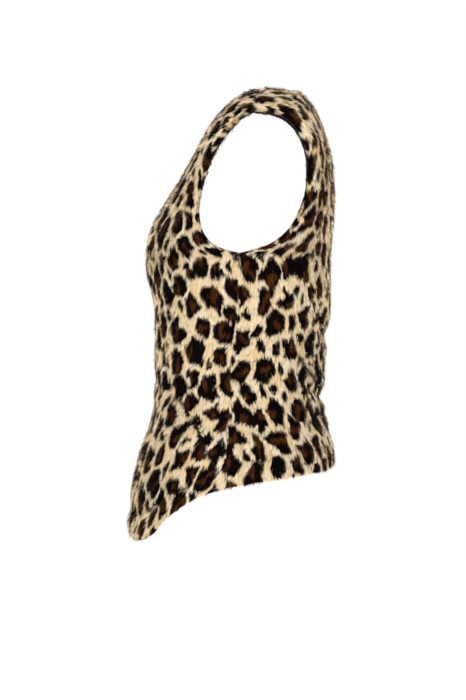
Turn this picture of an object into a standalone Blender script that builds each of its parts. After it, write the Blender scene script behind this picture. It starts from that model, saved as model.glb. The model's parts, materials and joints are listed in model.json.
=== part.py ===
"""A sleeveless faux fur vest in its worn shape: two fronts, a back and two armhole facings.

The script's unit is the metre, with +Z up. The front faces -Y and the wearer's left is +X. The origin is
where the wearer's shoulders carry the vest. The tables of sizes below are in millimetres.
"""

import math
from collections import namedtuple

import bmesh
import bpy
import numpy as np
from mathutils import Vector
from mathutils.bvhtree import BVHTree

MM = 0.001

# Driving sizes
WALL = 7.0  # backing with the pile lying on it
SEAM_GAP = 0.3
ROW_STEP = 15.0  # height of one row of the wall
COLUMNS = 16  # cells across a front, and across half of the back
SEAM_ROWS = 9  # sections from the hem to the underarm, where front and back share the side seam

FACING_WIDTH = 12.0
FACING_STEPS = 2
FACING_THICK = 1.2
FACING_CLEARANCE = 0.9
FACING_STATIONS = 3  # stations of the facing for each row of the wall
FACING_SHOWS = 0.5  # how far the facing stands out of the fur's edge, into the armhole

# One section of a panel is a curve from its inner edge (centre or neck) to its outer edge (side or armhole).
# It leaves and arrives with a heading (0 is +X, 90 is +Y), a lift (90 is +Z) and a reach, which is a share of
# its chord.
Section = namedtuple("Section", "inner outer leaves arrives")
Way = namedtuple("Way", "heading lift reach")

SIDE_SEAM = [
    (174, -18, -530),
    (171, -18.5, -490),
    (166, -17, -455),
    (161, -15, -425),
    (157, -13, -397),
    (155, -10.7, -367),
    (157, -8, -325),
    (163, -4, -287),
    (168, -2, -250),
    (171, 0, -211.4),
]

SHOULDER_SEAM = Section((80, 30, 17.6), (176, 18, -13.5), Way(-4, -6, 0.42), Way(90, -90, 0.17))

FRONT = [
    Section((0, -155, -580), SIDE_SEAM[0], Way(0, 0, 0.55), Way(90, 0, 0.42)),
    Section((0, -148, -526), SIDE_SEAM[1], Way(0, 0, 0.55), Way(90, 0, 0.42)),
    Section((0, -137, -480), SIDE_SEAM[2], Way(0, 0, 0.55), Way(90, 0, 0.42)),
    Section((0, -123, -442), SIDE_SEAM[3], Way(0, 0, 0.55), Way(90, 0, 0.42)),
    Section((0, -117.3, -410), SIDE_SEAM[4], Way(0, 0, 0.55), Way(90, 0, 0.41)),
    Section((0, -117, -375), SIDE_SEAM[5], Way(0, 0, 0.55), Way(90, 0, 0.41)),
    Section((0, -116.5, -330), SIDE_SEAM[6], Way(0, 0, 0.56), Way(90, 0, 0.40)),
    Section((0, -117, -290), SIDE_SEAM[7], Way(0, 0, 0.57), Way(90, 0, 0.39)),
    Section((0, -121.5, -262), SIDE_SEAM[8], Way(0, 0, 0.59), Way(90, 0, 0.37)),
    Section((0, -128, -238), SIDE_SEAM[9], Way(0, 0, 0.59), Way(90, 0, 0.33)),
    Section((0, -129.6, -214), (170, -20, -206.5), Way(2, 0, 0.58), Way(90, 0, 0.30)),
    Section((7, -127.5, -193), (165.5, -43, -193.5), Way(4, 0, 0.56), Way(88, 10, 0.25)),
    Section((15, -120, -170), (160, -55.5, -173), Way(5, 0, 0.52), Way(86, 19, 0.19)),
    Section((24.5, -104, -141.5), (156.5, -59.5, -147), Way(6, 0, 0.48), Way(84, 18, 0.16)),
    Section((36.5, -81.5, -106), (155, -54, -116), Way(3, 0, 0.44), Way(84, 5, 0.15)),
    Section((48.5, -60.5, -70), (157.5, -43.5, -84), Way(0, -1, 0.43), Way(84, -24, 0.15)),
    Section((61, -40.5, -33.5), (162.5, -30, -57), Way(-3, -3, 0.42), Way(84, -49, 0.15)),
    Section((72, -14, -3.5), (169.5, -9.5, -30.5), Way(-4, -5, 0.42), Way(86, -73, 0.16)),
    Section((77, 8.5, 11.5), (173.5, 5.5, -18.5), Way(-4, -6, 0.42), Way(88, -82, 0.17)),
    SHOULDER_SEAM,
]

BACK = [
    Section((0, 130.5, -501), SIDE_SEAM[0], Way(0, 0, 0.54), Way(-90, 0, 0.41)),
    Section((0, 127.4, -476), SIDE_SEAM[1], Way(0, 0, 0.54), Way(-90, 0, 0.41)),
    Section((0, 121, -452), SIDE_SEAM[2], Way(0, 0, 0.54), Way(-90, 0, 0.41)),
    Section((0, 118.5, -430), SIDE_SEAM[3], Way(0, 0, 0.54), Way(-90, 0, 0.41)),
    Section((0, 115.5, -404), SIDE_SEAM[4], Way(0, 0, 0.54), Way(-90, 0, 0.41)),
    Section((0, 116, -368), SIDE_SEAM[5], Way(0, 0, 0.54), Way(-90, 0, 0.41)),
    Section((0, 119, -322), SIDE_SEAM[6], Way(0, 0, 0.55), Way(-90, 0, 0.41)),
    Section((0, 123.5, -286), SIDE_SEAM[7], Way(0, 0, 0.56), Way(-90, 0, 0.41)),
    Section((0, 124, -252), SIDE_SEAM[8], Way(0, 0, 0.57), Way(-90, 0, 0.41)),
    Section((0, 124, -218), SIDE_SEAM[9], Way(0, 0, 0.57), Way(-90, 0, 0.37)),
    Section((0, 126, -190), (170.5, 23, -205.5), Way(0, 0, 0.56), Way(-90, 0, 0.34)),
    Section((0, 128.5, -163), (168.5, 47, -195.5), Way(0, 0, 0.55), Way(-88, 10, 0.28)),
    Section((0, 129.6, -136), (166.5, 69, -177), Way(0, 0, 0.53), Way(-86, 20, 0.21)),
    Section((0, 128.6, -106), (165, 85, -148), Way(0, 0, 0.50), Way(-85, 20, 0.17)),
    Section((0, 124.4, -74), (164.5, 94, -116), Way(0, 0, 0.47), Way(-84, 6, 0.15)),
    Section((0, 114, -40), (165, 94.5, -83), Way(0, 0, 0.46), Way(-84, -18, 0.15)),
    Section((0, 100, -9), (168, 85.5, -51), Way(0, 0, 0.45), Way(-84, -39, 0.15)),
    Section((0, 79, 14), (171.5, 68.5, -28), Way(0, 0, 0.44), Way(-84, -57, 0.15)),
    Section((35, 71, 12.5), (174, 50, -18.5), Way(1, -2, 0.43), Way(-86, -70, 0.16)),
    Section((63, 54, 16.5), (175.5, 33, -14.5), Way(-1, -4, 0.42), Way(-88, -80, 0.16)),
    SHOULDER_SEAM,
]

CENTRE_BACK_ROWS = 17  # sections of the back from the hem to the neck, where its halves are one cloth

# The hem's height by depth: the fronts run to a rounded point, and the back is nearly level.
HemPoint = namedtuple("HemPoint", "y z")
HEM_FRONT = [
    HemPoint(-155, -580),
    HemPoint(-152, -594),
    HemPoint(-140, -601.4),
    HemPoint(-124, -593),
    HemPoint(-109, -576.5),
    HemPoint(-88, -559.5),
    HemPoint(-53, -540.5),
    HemPoint(-18, -530),
]
HEM_BACK = [
    HemPoint(-18, -530),
    HemPoint(31.5, -521.5),
    HemPoint(94.5, -511),
    HemPoint(119, -506),
    HemPoint(130.5, -496.5),
]
HEM_FADES = 5  # sections above the hem over which its line levels out

# A crease is a soft trough, or a ridge where its depth is below 0. Its path is (y, z) as seen from the side,
# on the left half. The right half has it deeper or shallower by the share in right, and lower by drop.
Crease = namedtuple("Crease", "path depth width right drop fades_first fades_last")

WAIST_FOLD = [(122, -402), (110, -400), (105, -396), (96, -385), (83, -362), (78, -350)]
BACK_CREASES = [
    Crease(WAIST_FOLD, 8, 12, 0.8, 7, False, True),
    Crease([(125, -424), (109, -432), (95, -445), (86, -452)], 3.5, 11, 1.1, -5, False, True),
    Crease([(125, -320), (114, -315), (107, -304), (96, -295)], 4.5, 12, 0.7, 9, False, True),
    Crease([(110, -362), (95, -381)], -3, 12, 0.9, 4, True, True),
    Crease([(60, -392), (36, -398), (14, -392)], 3, 15, 1.2, -14, True, True),
    Crease([(110, -60), (112, -120), (104, -175)], 2, 20, 1.0, 10, True, True),
]

DART = [(-113, -284), (-112, -322), (-104, -350), (-102, -412), (-104, -436)]
FRONT_CREASES = [
    Crease(DART, 2.8, 11, 1.0, 0, True, True),
    Crease([(-83, -408), (-73, -429), (-62, -449), (-52, -472), (-41, -488)], 3.2, 10, 1.0, 0, True, True),
    Crease([(-122, -376), (-110, -396), (-100, -408)], 3, 12, 0.8, 6, False, True),
    Crease([(-60, -392), (-40, -384), (-22, -388)], 2.5, 15, 1.1, 12, True, True),
    Crease([(-66, -235), (-86, -262), (-100, -296)], 2.2, 16, 1.0, 5, True, True),
]

CREASE_TAPER = 0.3  # share of a crease's length over which it fades at an end
CREASE_END = 0.15  # share of its depth that is left at the end
CREASE_BLEND = 45.0  # width from the centre over which a crease takes on its depth on the right half

HEM_ROLL_RISE = 26.0  # height of the trough above the front hem's edge
HEM_ROLL_WIDTH = 11.0
HEM_ROLL_DEPTH = 3.0
HEM_ROLL_ENDS = (-30.0, -90.0)  # depth y where the trough starts and where it is full

SAME_POINT = 1e-9
WELD = 1e-6  # in metres

FUR_CREAM = (0.72, 0.55, 0.36, 1.0)
FACING_BROWN = (0.05, 0.035, 0.03, 1.0)


def smooth_between(knots, values, at):
    """Values at the points `at` of a smooth curve through the knots that never overshoots them."""
    knots, values, at = (np.asarray(x, float) for x in (knots, values, at))
    run = np.diff(knots)[:, None]
    rise = np.diff(values, axis=0) / run
    slope = np.empty_like(values)
    slope[0], slope[-1] = rise[0], rise[-1]
    same_way = rise[:-1] * rise[1:] > 0
    near, far = 2 * run[1:] + run[:-1], run[1:] + 2 * run[:-1]
    with np.errstate(divide="ignore", invalid="ignore"):
        mean = (near + far) / (near / rise[:-1] + far / rise[1:])
    slope[1:-1] = np.where(same_way, mean, 0)  # flat at a turning point
    cell = np.clip(np.searchsorted(knots, at, "right") - 1, 0, len(knots) - 2)
    step = run[cell]
    t = ((at - knots[cell])[:, None]) / step
    return (
        (1 + 2 * t) * (1 - t) ** 2 * values[cell]
        + t * (1 - t) ** 2 * step * slope[cell]
        + t**2 * (3 - 2 * t) * values[cell + 1]
        + t**2 * (t - 1) * step * slope[cell + 1]
    )


def rows_of(sections):
    """The heights, as lengths along the panel, of its sections and of all its rows."""
    lengths = []
    for number, (low, high) in enumerate(zip(sections, sections[1:])):
        outer = math.dist(low.outer, high.outer)
        inner = math.dist(low.inner, high.inner)
        lengths.append(outer if number < SEAM_ROWS else (outer + inner) / 2)
    knots = np.concatenate([[0.0], np.cumsum(lengths)])
    rows = [0.0]
    for low, high in zip(knots, knots[1:]):
        count = max(1, round((high - low) / ROW_STEP))
        rows.extend(np.linspace(low, high, count + 1)[1:])
    return knots, np.array(rows)


def edge_with_corner(knots, points, rows):
    """A panel's outer edge at its rows, where the smooth side seam and armhole edge meet in a corner."""
    corner = knots[SEAM_ROWS]
    below, above = rows[rows <= corner + 1e-6], rows[rows > corner + 1e-6]
    seam = smooth_between(knots[: SEAM_ROWS + 1], points[: SEAM_ROWS + 1], below)
    armhole = smooth_between(knots[SEAM_ROWS:], points[SEAM_ROWS:], above)
    return np.concatenate([seam, armhole])


def directions(ways):
    """Unit vectors of an array of headings and lifts in degrees."""
    heading, lift = np.radians(ways[:, 0]), np.radians(ways[:, 1])
    flat = np.cos(lift)
    return np.stack([np.cos(heading) * flat, np.sin(heading) * flat, np.sin(lift)], axis=1)


def panel_surface(sections, hem):
    """The outer face of a panel as a grid in millimetres: rows from the hem up, columns outwards."""
    knots, rows = rows_of(sections)
    table = np.array([(*s.inner, *s.outer, *s.leaves, *s.arrives) for s in sections], float)
    outer = edge_with_corner(knots, table[:, 3:6], rows)
    table = smooth_between(knots, table, rows)
    inner, leaves, arrives = table[:, 0:3], table[:, 6:9], table[:, 9:12]
    chord = np.linalg.norm(outer - inner, axis=1)[:, None]
    first = inner + directions(leaves) * leaves[:, 2:3] * chord
    second = outer - directions(arrives) * arrives[:, 2:3] * chord
    u = np.linspace(0, 1, COLUMNS + 1)[None, :, None]
    grid = (
        (1 - u) ** 3 * inner[:, None]
        + 3 * u * (1 - u) ** 2 * first[:, None]
        + 3 * u**2 * (1 - u) * second[:, None]
        + u**3 * outer[:, None]
    )
    hem = sorted(hem)
    level = smooth_between([p.y for p in hem], [[p.z] for p in hem], grid[0, :, 1])[:, 0]
    fade = np.clip(1 - rows / knots[HEM_FADES], 0, 1) ** 1.5
    grid[:, :, 2] += fade[:, None] * (level - grid[0, :, 2])
    return grid


def outward_normals(grid):
    """Unit normals of a grid, pointing out of the body."""
    across, up = np.gradient(grid, axis=1), np.gradient(grid, axis=0)
    normal = np.cross(across, up)
    return normal / np.linalg.norm(normal, axis=2, keepdims=True)


def row_number(sections, section):
    """The grid row on which a section lies."""
    knots, rows = rows_of(sections)
    return int(np.argmin(abs(rows - knots[section])))


def share_seam_normals(front, back):
    """Front and back have the same normals on the side seam and on the shoulder seam."""
    seam = row_number(FRONT, SEAM_ROWS) + 1
    for here, there in (((slice(0, seam), -1), (slice(0, seam), -1)), ((-1, slice(None)), (-1, slice(None)))):
        mean = front[here] + back[there]
        mean /= np.linalg.norm(mean, axis=-1, keepdims=True)
        front[here], back[there] = mean, mean


def flatten_centre(normals, rows):
    """On the centre line the normals lean neither left nor right."""
    normals[:rows, 0, 0] = 0
    normals[:rows, 0] /= np.linalg.norm(normals[:rows, 0], axis=1, keepdims=True)


def crease_depth(grid, crease):
    """How far each grid point sinks under one crease."""
    points = grid.reshape(-1, 3)
    path = np.array([points[np.argmin(np.hypot(*(points[:, 1:] - p).T))] for p in crease.path])
    nearest = np.full(len(points), np.inf)
    along = np.zeros(len(points))
    run = np.concatenate([[0], np.cumsum(np.linalg.norm(np.diff(path, axis=0), axis=1))])
    for a, b, start, end in zip(path, path[1:], run, run[1:]):
        t = np.clip((points - a) @ (b - a) / max((b - a) @ (b - a), SAME_POINT), 0, 1)
        away = np.linalg.norm(points - (a + t[:, None] * (b - a)), axis=1)
        closer = away < nearest
        nearest = np.where(closer, away, nearest)
        along = np.where(closer, start + t * (end - start), along)
    share = along / run[-1]
    taper = np.ones_like(share)
    if crease.fades_first:
        taper *= np.clip(share / CREASE_TAPER, CREASE_END, 1)
    if crease.fades_last:
        taper *= np.clip((1 - share) / CREASE_TAPER, CREASE_END, 1)
    reach = (nearest / crease.width) ** 2
    depth = crease.depth * taper * np.exp(-reach) * (1 - 0.5 * reach)
    return depth.reshape(grid.shape[:2])


def hem_roll(grid):
    """A trough above the front hem, below which the edge stands out."""
    height = np.concatenate([[np.zeros(grid.shape[1])], np.linalg.norm(np.diff(grid, axis=0), axis=2)])
    height = np.cumsum(height, axis=0)
    start, full = HEM_ROLL_ENDS
    share = np.clip((grid[:, :, 1] - start) / (full - start), 0, 1)
    return HEM_ROLL_DEPTH * share * np.exp(-(((height - HEM_ROLL_RISE) / HEM_ROLL_WIDTH) ** 2))


def creased(grid, normals, creases, right, extra=0.0):
    """The grid with its creases pressed in, for the left half or for the right half."""
    depth = np.zeros(grid.shape[:2]) + extra
    from_centre = np.clip(grid[:, :, 0] / CREASE_BLEND, 0, 1)
    for crease in creases:
        pressed = crease_depth(grid, crease)
        if right:
            lower = crease._replace(path=[(y, z - crease.drop) for y, z in crease.path])
            pressed += from_centre * (crease.right * crease_depth(grid, lower) - pressed)
        depth += pressed
    return grid - depth[:, :, None] * normals


def add_grid(mesh, points, mirror):
    """Adds a grid's vertices, in metres, on the left or the right side, and gives them as rows."""
    side = -1 if mirror else 1
    return [[mesh.verts.new((side * x * MM, y * MM, z * MM)) for x, y, z in row] for row in points]


def fill_grid(mesh, rows):
    """Fills a grid of vertices with four-sided faces."""
    for low, high in zip(rows, rows[1:]):
        for a, b, c, d in zip(low, low[1:], high[1:], high):
            mesh.faces.new((a, b, c, d))


def bridge_edges(mesh, outer, inner):
    """Closes the wall between two rows of vertices, one on its outer and one on its inner face."""
    for a, b, c, d in zip(outer, outer[1:], inner[1:], inner):
        mesh.faces.new((a, b, c, d))


def rim_of(rows, centre_rows):
    """A panel's four edges, with the inner one only above the rows where both halves are one cloth."""
    inner_edge = [row[0] for row in rows[centre_rows:]]
    outer_edge = [row[-1] for row in rows]
    return [rows[0], outer_edge, rows[-1], inner_edge]


def add_wall(mesh, outer_points, inner_points, mirror, centre_rows=0):
    """Adds one panel half as a wall, open on the centre line up to the row centre_rows."""
    outer = add_grid(mesh, outer_points, mirror)
    inner = add_grid(mesh, inner_points, mirror)
    fill_grid(mesh, outer)
    fill_grid(mesh, inner)
    for outside, inside in zip(rim_of(outer, centre_rows), rim_of(inner, centre_rows)):
        bridge_edges(mesh, outside, inside)


def material(name, colour, roughness):
    """A cloth's material with its colour and roughness."""
    made = bpy.data.materials.new(name)
    made.use_nodes = True
    shader = made.node_tree.nodes["Principled BSDF"]
    shader.inputs["Base Color"].default_value = colour
    shader.inputs["Roughness"].default_value = roughness
    shader.inputs["Metallic"].default_value = 0.0
    return made


def finish_object(name, mesh, surface):
    """Turns a bmesh into a smooth-shaded object whose faces all point out."""
    bmesh.ops.recalc_face_normals(mesh, faces=mesh.faces)
    if mesh.calc_volume(signed=True) < 0:
        bmesh.ops.reverse_faces(mesh, faces=mesh.faces)
    data = bpy.data.meshes.new(name)
    mesh.to_mesh(data)
    mesh.free()
    data.shade_smooth()
    data.set_sharp_from_angle(angle=math.radians(50))
    data.materials.append(surface)
    made = bpy.data.objects.new(name, data)
    bpy.context.scene.collection.objects.link(made)
    return made


def part_seams(grid, centre, side_rows, side_way, shoulder_way):
    """Draws a panel back from its seams by half the gap: at the centre, the side and the shoulder."""
    half = SEAM_GAP / 2
    parted = grid.copy()
    if centre:
        parted[:, 0, 0] = np.maximum(parted[:, 0, 0], half)
    parted[:side_rows, -1, 1] += side_way * half
    parted[-1, :, 1] += shoulder_way * half
    return parted


def shells(grid, normals, creases, extra, centre, side_rows, way):
    """Outer and inner faces of a panel for the left half and for the right half."""
    made = []
    for right in (False, True):
        outer = creased(grid, normals, creases, right, extra)
        inner = outer - WALL * normals
        made.append(tuple(part_seams(face, centre, side_rows, way, way) for face in (outer, inner)))
    return made


def armhole_edge(front, back, underarm):
    """Points and normals of the wall's inner edge round one armhole, as a closed loop from the underarm."""
    loop = [face[underarm:, -1] for face in front]
    rest = [face[underarm + 1 : -1, -1][::-1] for face in back]
    corners = [np.concatenate(pair) for pair in zip(loop, rest)]
    steps = np.linspace(0, 1, FACING_STATIONS, endpoint=False)[None, :, None]
    return [
        (ring[:, None] * (1 - steps) + np.roll(ring, -1, axis=0)[:, None] * steps).reshape(-1, 3)
        for ring in corners
    ]


def facing_profile(tree, point, away, normal):
    """Points on the wall's inner face away from the armhole's edge, each with the direction off the wall."""
    step = FACING_WIDTH / FACING_STEPS * MM
    line = [(point - away * FACING_SHOWS * MM, normal), (point, normal)]
    here = point
    for _ in range(FACING_STEPS):
        here, off, _, _ = tree.find_nearest(here + away * step)
        line.append((here, -off if off.dot(normal) < 0 else off))
    return line


def build_facing(name, edge, tree, mirror, surface):
    """A narrow strip inside an armhole's edge, lying on the wall's inner face."""
    points, normals = edge
    side = -1 if mirror else 1
    points = [Vector((side * x, y, z)) * MM for x, y, z in points]
    normals = [Vector((side * x, y, z)) for x, y, z in normals]
    centre = sum(points, Vector()) / len(points)
    mesh = bmesh.new()
    rings = []
    for number, (point, normal) in enumerate(zip(points, normals)):
        along = points[(number + 1) % len(points)] - points[number - 1]
        away = along.cross(normal).normalized()
        if away.dot(centre - point) > 0:
            away.negate()
        line = facing_profile(tree, point, away, -normal)
        near = [place + off * FACING_CLEARANCE * MM for place, off in line]
        far = [place + off * (FACING_CLEARANCE + FACING_THICK) * MM for place, off in line]
        rings.append([mesh.verts.new(p) for p in near + far[::-1]])
    for low, high in zip(rings, rings[1:] + rings[:1]):
        for a, b, c, d in zip(low, low[1:] + low[:1], high[1:] + high[:1], high):
            mesh.faces.new((a, b, c, d))
    return finish_object(name, mesh, surface)


def inner_face_tree(walls):
    """A search tree over the inner faces of a front and half the back, pointing into the body."""
    vertices, faces = [], []
    for grid, mirror in walls:
        side = -1 if mirror else 1
        rows, columns = grid.shape[:2]
        start = len(vertices)
        vertices.extend(Vector((side * x, y, z)) * MM for x, y, z in grid.reshape(-1, 3))
        for r in range(rows - 1):
            for c in range(columns - 1):
                a = start + r * columns + c
                faces.append((a, a + 1, a + columns + 1, a + columns))
    return BVHTree.FromPolygons(vertices, faces)


def main():
    for existing in list(bpy.data.objects):
        bpy.data.objects.remove(existing, do_unlink=True)

    front_grid = panel_surface(FRONT, HEM_FRONT)
    back_grid = panel_surface(BACK, HEM_BACK)
    front_normals = outward_normals(front_grid)
    back_normals = -outward_normals(back_grid)
    underarm = row_number(FRONT, SEAM_ROWS)
    centre_rows = row_number(BACK, CENTRE_BACK_ROWS)
    flatten_centre(front_normals, underarm + 1)
    flatten_centre(back_normals, centre_rows + 1)
    share_seam_normals(front_normals, back_normals)

    fronts = shells(front_grid, front_normals, FRONT_CREASES, hem_roll(front_grid), True, underarm + 1, -1)
    backs = shells(back_grid, back_normals, BACK_CREASES, 0.0, False, underarm + 1, 1)

    for name, mirror, (outer, inner) in zip(("front_left", "front_right"), (False, True), fronts):
        mesh = bmesh.new()
        add_wall(mesh, outer, inner, mirror)
        finish_object(name, mesh, material(f"{name}_fur", FUR_CREAM, 0.9))

    mesh = bmesh.new()
    for mirror, (outer, inner) in zip((False, True), backs):
        add_wall(mesh, outer, inner, mirror, centre_rows)
    bmesh.ops.remove_doubles(mesh, verts=mesh.verts, dist=WELD)
    finish_object("back", mesh, material("back_fur", FUR_CREAM, 0.9))

    names = ("armhole_facing_left", "armhole_facing_right")
    for name, mirror, front, back in zip(names, (False, True), fronts, backs):
        edge = armhole_edge((front[1], front_normals), (back[1], back_normals), underarm)
        tree = inner_face_tree([(front[1], mirror), (back[1], mirror)])
        build_facing(name, edge, tree, mirror, material(f"{name}_cloth", FACING_BROWN, 0.7))


main()
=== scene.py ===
"""The looks of a sleeveless faux fur vest: printed pile, cloth, lining side, facings and a plain studio.

The panels' surfaces come from the same tables as the CAD solids. Tables and cloth measures are in
millimetres, and meshes are in metres. The front faces -Y, the wearer's left is +X and +Z is up.
"""

from __future__ import annotations

import json
import logging
import math
from dataclasses import dataclass, field, replace
from enum import Enum
from typing import NamedTuple

import bmesh
import bpy
import numpy as np
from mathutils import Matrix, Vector
from mathutils.bvhtree import BVHTree

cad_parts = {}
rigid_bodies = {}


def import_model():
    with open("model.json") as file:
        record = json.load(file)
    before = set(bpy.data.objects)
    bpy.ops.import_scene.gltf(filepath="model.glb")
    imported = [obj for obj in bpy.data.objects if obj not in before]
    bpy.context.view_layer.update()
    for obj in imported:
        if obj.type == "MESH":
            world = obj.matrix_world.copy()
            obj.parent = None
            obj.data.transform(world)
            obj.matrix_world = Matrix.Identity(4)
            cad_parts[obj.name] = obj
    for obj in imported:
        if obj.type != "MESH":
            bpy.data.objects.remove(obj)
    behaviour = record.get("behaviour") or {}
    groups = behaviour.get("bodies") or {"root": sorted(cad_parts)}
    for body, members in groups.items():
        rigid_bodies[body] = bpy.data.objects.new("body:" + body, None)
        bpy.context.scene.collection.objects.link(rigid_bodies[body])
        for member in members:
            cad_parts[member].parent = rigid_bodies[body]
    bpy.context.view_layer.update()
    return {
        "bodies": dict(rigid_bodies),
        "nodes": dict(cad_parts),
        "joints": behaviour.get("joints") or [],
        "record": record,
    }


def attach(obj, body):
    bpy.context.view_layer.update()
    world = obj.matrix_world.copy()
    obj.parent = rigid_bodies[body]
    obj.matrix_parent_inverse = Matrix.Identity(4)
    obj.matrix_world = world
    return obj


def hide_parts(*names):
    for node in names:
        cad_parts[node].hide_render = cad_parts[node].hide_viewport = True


LOG = logging.getLogger("faux_fur_vest")

MM = 0.001
GROUND_DEPTH = 4.2  # from the pile's mean top to the cloth
TINY = 1e-9

Array = np.ndarray
Colour = tuple[float, float, float, float]
Point = tuple[float, float, float]
Path = tuple[tuple[float, float], ...]
Fields = dict[str, np.ndarray]
Sockets = dict[str, str]

PRINT_FIELDS = ("spot", "ring", "tone", "gold")
SHELL_FIELDS = ("spot", "ring", "cloth_x", "cloth_y")
FLOAT, COLOUR, VECTOR = "NodeSocketFloat", "NodeSocketColor", "NodeSocketVector"


class Way(NamedTuple):
    """How a section leaves or arrives: heading (0 is +X, 90 is +Y), lift (90 is +Z), share of its chord."""

    heading: float
    lift: float
    reach: float


class Section(NamedTuple):
    """One section of a panel, from its inner edge (centre or neck) to its outer edge (side or armhole)."""

    inner: Point
    outer: Point
    leaves: Way
    arrives: Way


class HemPoint(NamedTuple):
    """The hem's height at one depth."""

    y: float
    z: float


class Crease(NamedTuple):
    """A soft trough, or a ridge where its depth is below 0, along a path of (y, z) as seen from the side.

    The right half has it deeper or shallower by the share in right, and lower by drop.
    """

    path: Path
    depth: float
    width: float
    right: float = 1.0
    drop: float = 0.0
    fades_first: bool = True
    fades_last: bool = True


class Parting(NamedTuple):
    """A sewn line or sharp fold where the pile parts, along a path of (y, z) as seen from the side.

    Strands lean away from it within reach, and within gap they are darkened, a painted shadow of the gap. The
    print is shifted by shift.
    """

    path: Path
    reach: float
    gap: float
    shift: float = 0.0


class Half(Enum):
    """The two halves of the vest, with the sign of their X."""

    LEFT = 1
    RIGHT = -1


class Band(Enum):
    """The two stretches into which a half panel's pile is split, as shares of its height order."""

    LOWER = (0.0, 0.5)
    UPPER = (0.5, 1.0)


SIDE_SEAM: tuple[Point, ...] = (
    (174, -18, -530),
    (171, -18.5, -490),
    (166, -17, -455),
    (161, -15, -425),
    (157, -13, -397),
    (155, -10.7, -367),
    (157, -8, -325),
    (163, -4, -287),
    (168, -2, -250),
    (171, 0, -211.4),
)

SHOULDER_SEAM = Section((80, 30, 17.6), (176, 18, -13.5), Way(-4, -6, 0.42), Way(90, -90, 0.17))

FRONT_SECTIONS: tuple[Section, ...] = (
    Section((0, -155, -580), SIDE_SEAM[0], Way(0, 0, 0.55), Way(90, 0, 0.42)),
    Section((0, -148, -526), SIDE_SEAM[1], Way(0, 0, 0.55), Way(90, 0, 0.42)),
    Section((0, -137, -480), SIDE_SEAM[2], Way(0, 0, 0.55), Way(90, 0, 0.42)),
    Section((0, -123, -442), SIDE_SEAM[3], Way(0, 0, 0.55), Way(90, 0, 0.42)),
    Section((0, -117.3, -410), SIDE_SEAM[4], Way(0, 0, 0.55), Way(90, 0, 0.41)),
    Section((0, -117, -375), SIDE_SEAM[5], Way(0, 0, 0.55), Way(90, 0, 0.41)),
    Section((0, -116.5, -330), SIDE_SEAM[6], Way(0, 0, 0.56), Way(90, 0, 0.40)),
    Section((0, -117, -290), SIDE_SEAM[7], Way(0, 0, 0.57), Way(90, 0, 0.39)),
    Section((0, -121.5, -262), SIDE_SEAM[8], Way(0, 0, 0.59), Way(90, 0, 0.37)),
    Section((0, -128, -238), SIDE_SEAM[9], Way(0, 0, 0.59), Way(90, 0, 0.33)),
    Section((0, -129.6, -214), (170, -20, -206.5), Way(2, 0, 0.58), Way(90, 0, 0.30)),
    Section((7, -127.5, -193), (165.5, -43, -193.5), Way(4, 0, 0.56), Way(88, 10, 0.25)),
    Section((15, -120, -170), (160, -55.5, -173), Way(5, 0, 0.52), Way(86, 19, 0.19)),
    Section((24.5, -104, -141.5), (156.5, -59.5, -147), Way(6, 0, 0.48), Way(84, 18, 0.16)),
    Section((36.5, -81.5, -106), (155, -54, -116), Way(3, 0, 0.44), Way(84, 5, 0.15)),
    Section((48.5, -60.5, -70), (157.5, -43.5, -84), Way(0, -1, 0.43), Way(84, -24, 0.15)),
    Section((61, -40.5, -33.5), (162.5, -30, -57), Way(-3, -3, 0.42), Way(84, -49, 0.15)),
    Section((72, -14, -3.5), (169.5, -9.5, -30.5), Way(-4, -5, 0.42), Way(86, -73, 0.16)),
    Section((77, 8.5, 11.5), (173.5, 5.5, -18.5), Way(-4, -6, 0.42), Way(88, -82, 0.17)),
    SHOULDER_SEAM,
)

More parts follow.
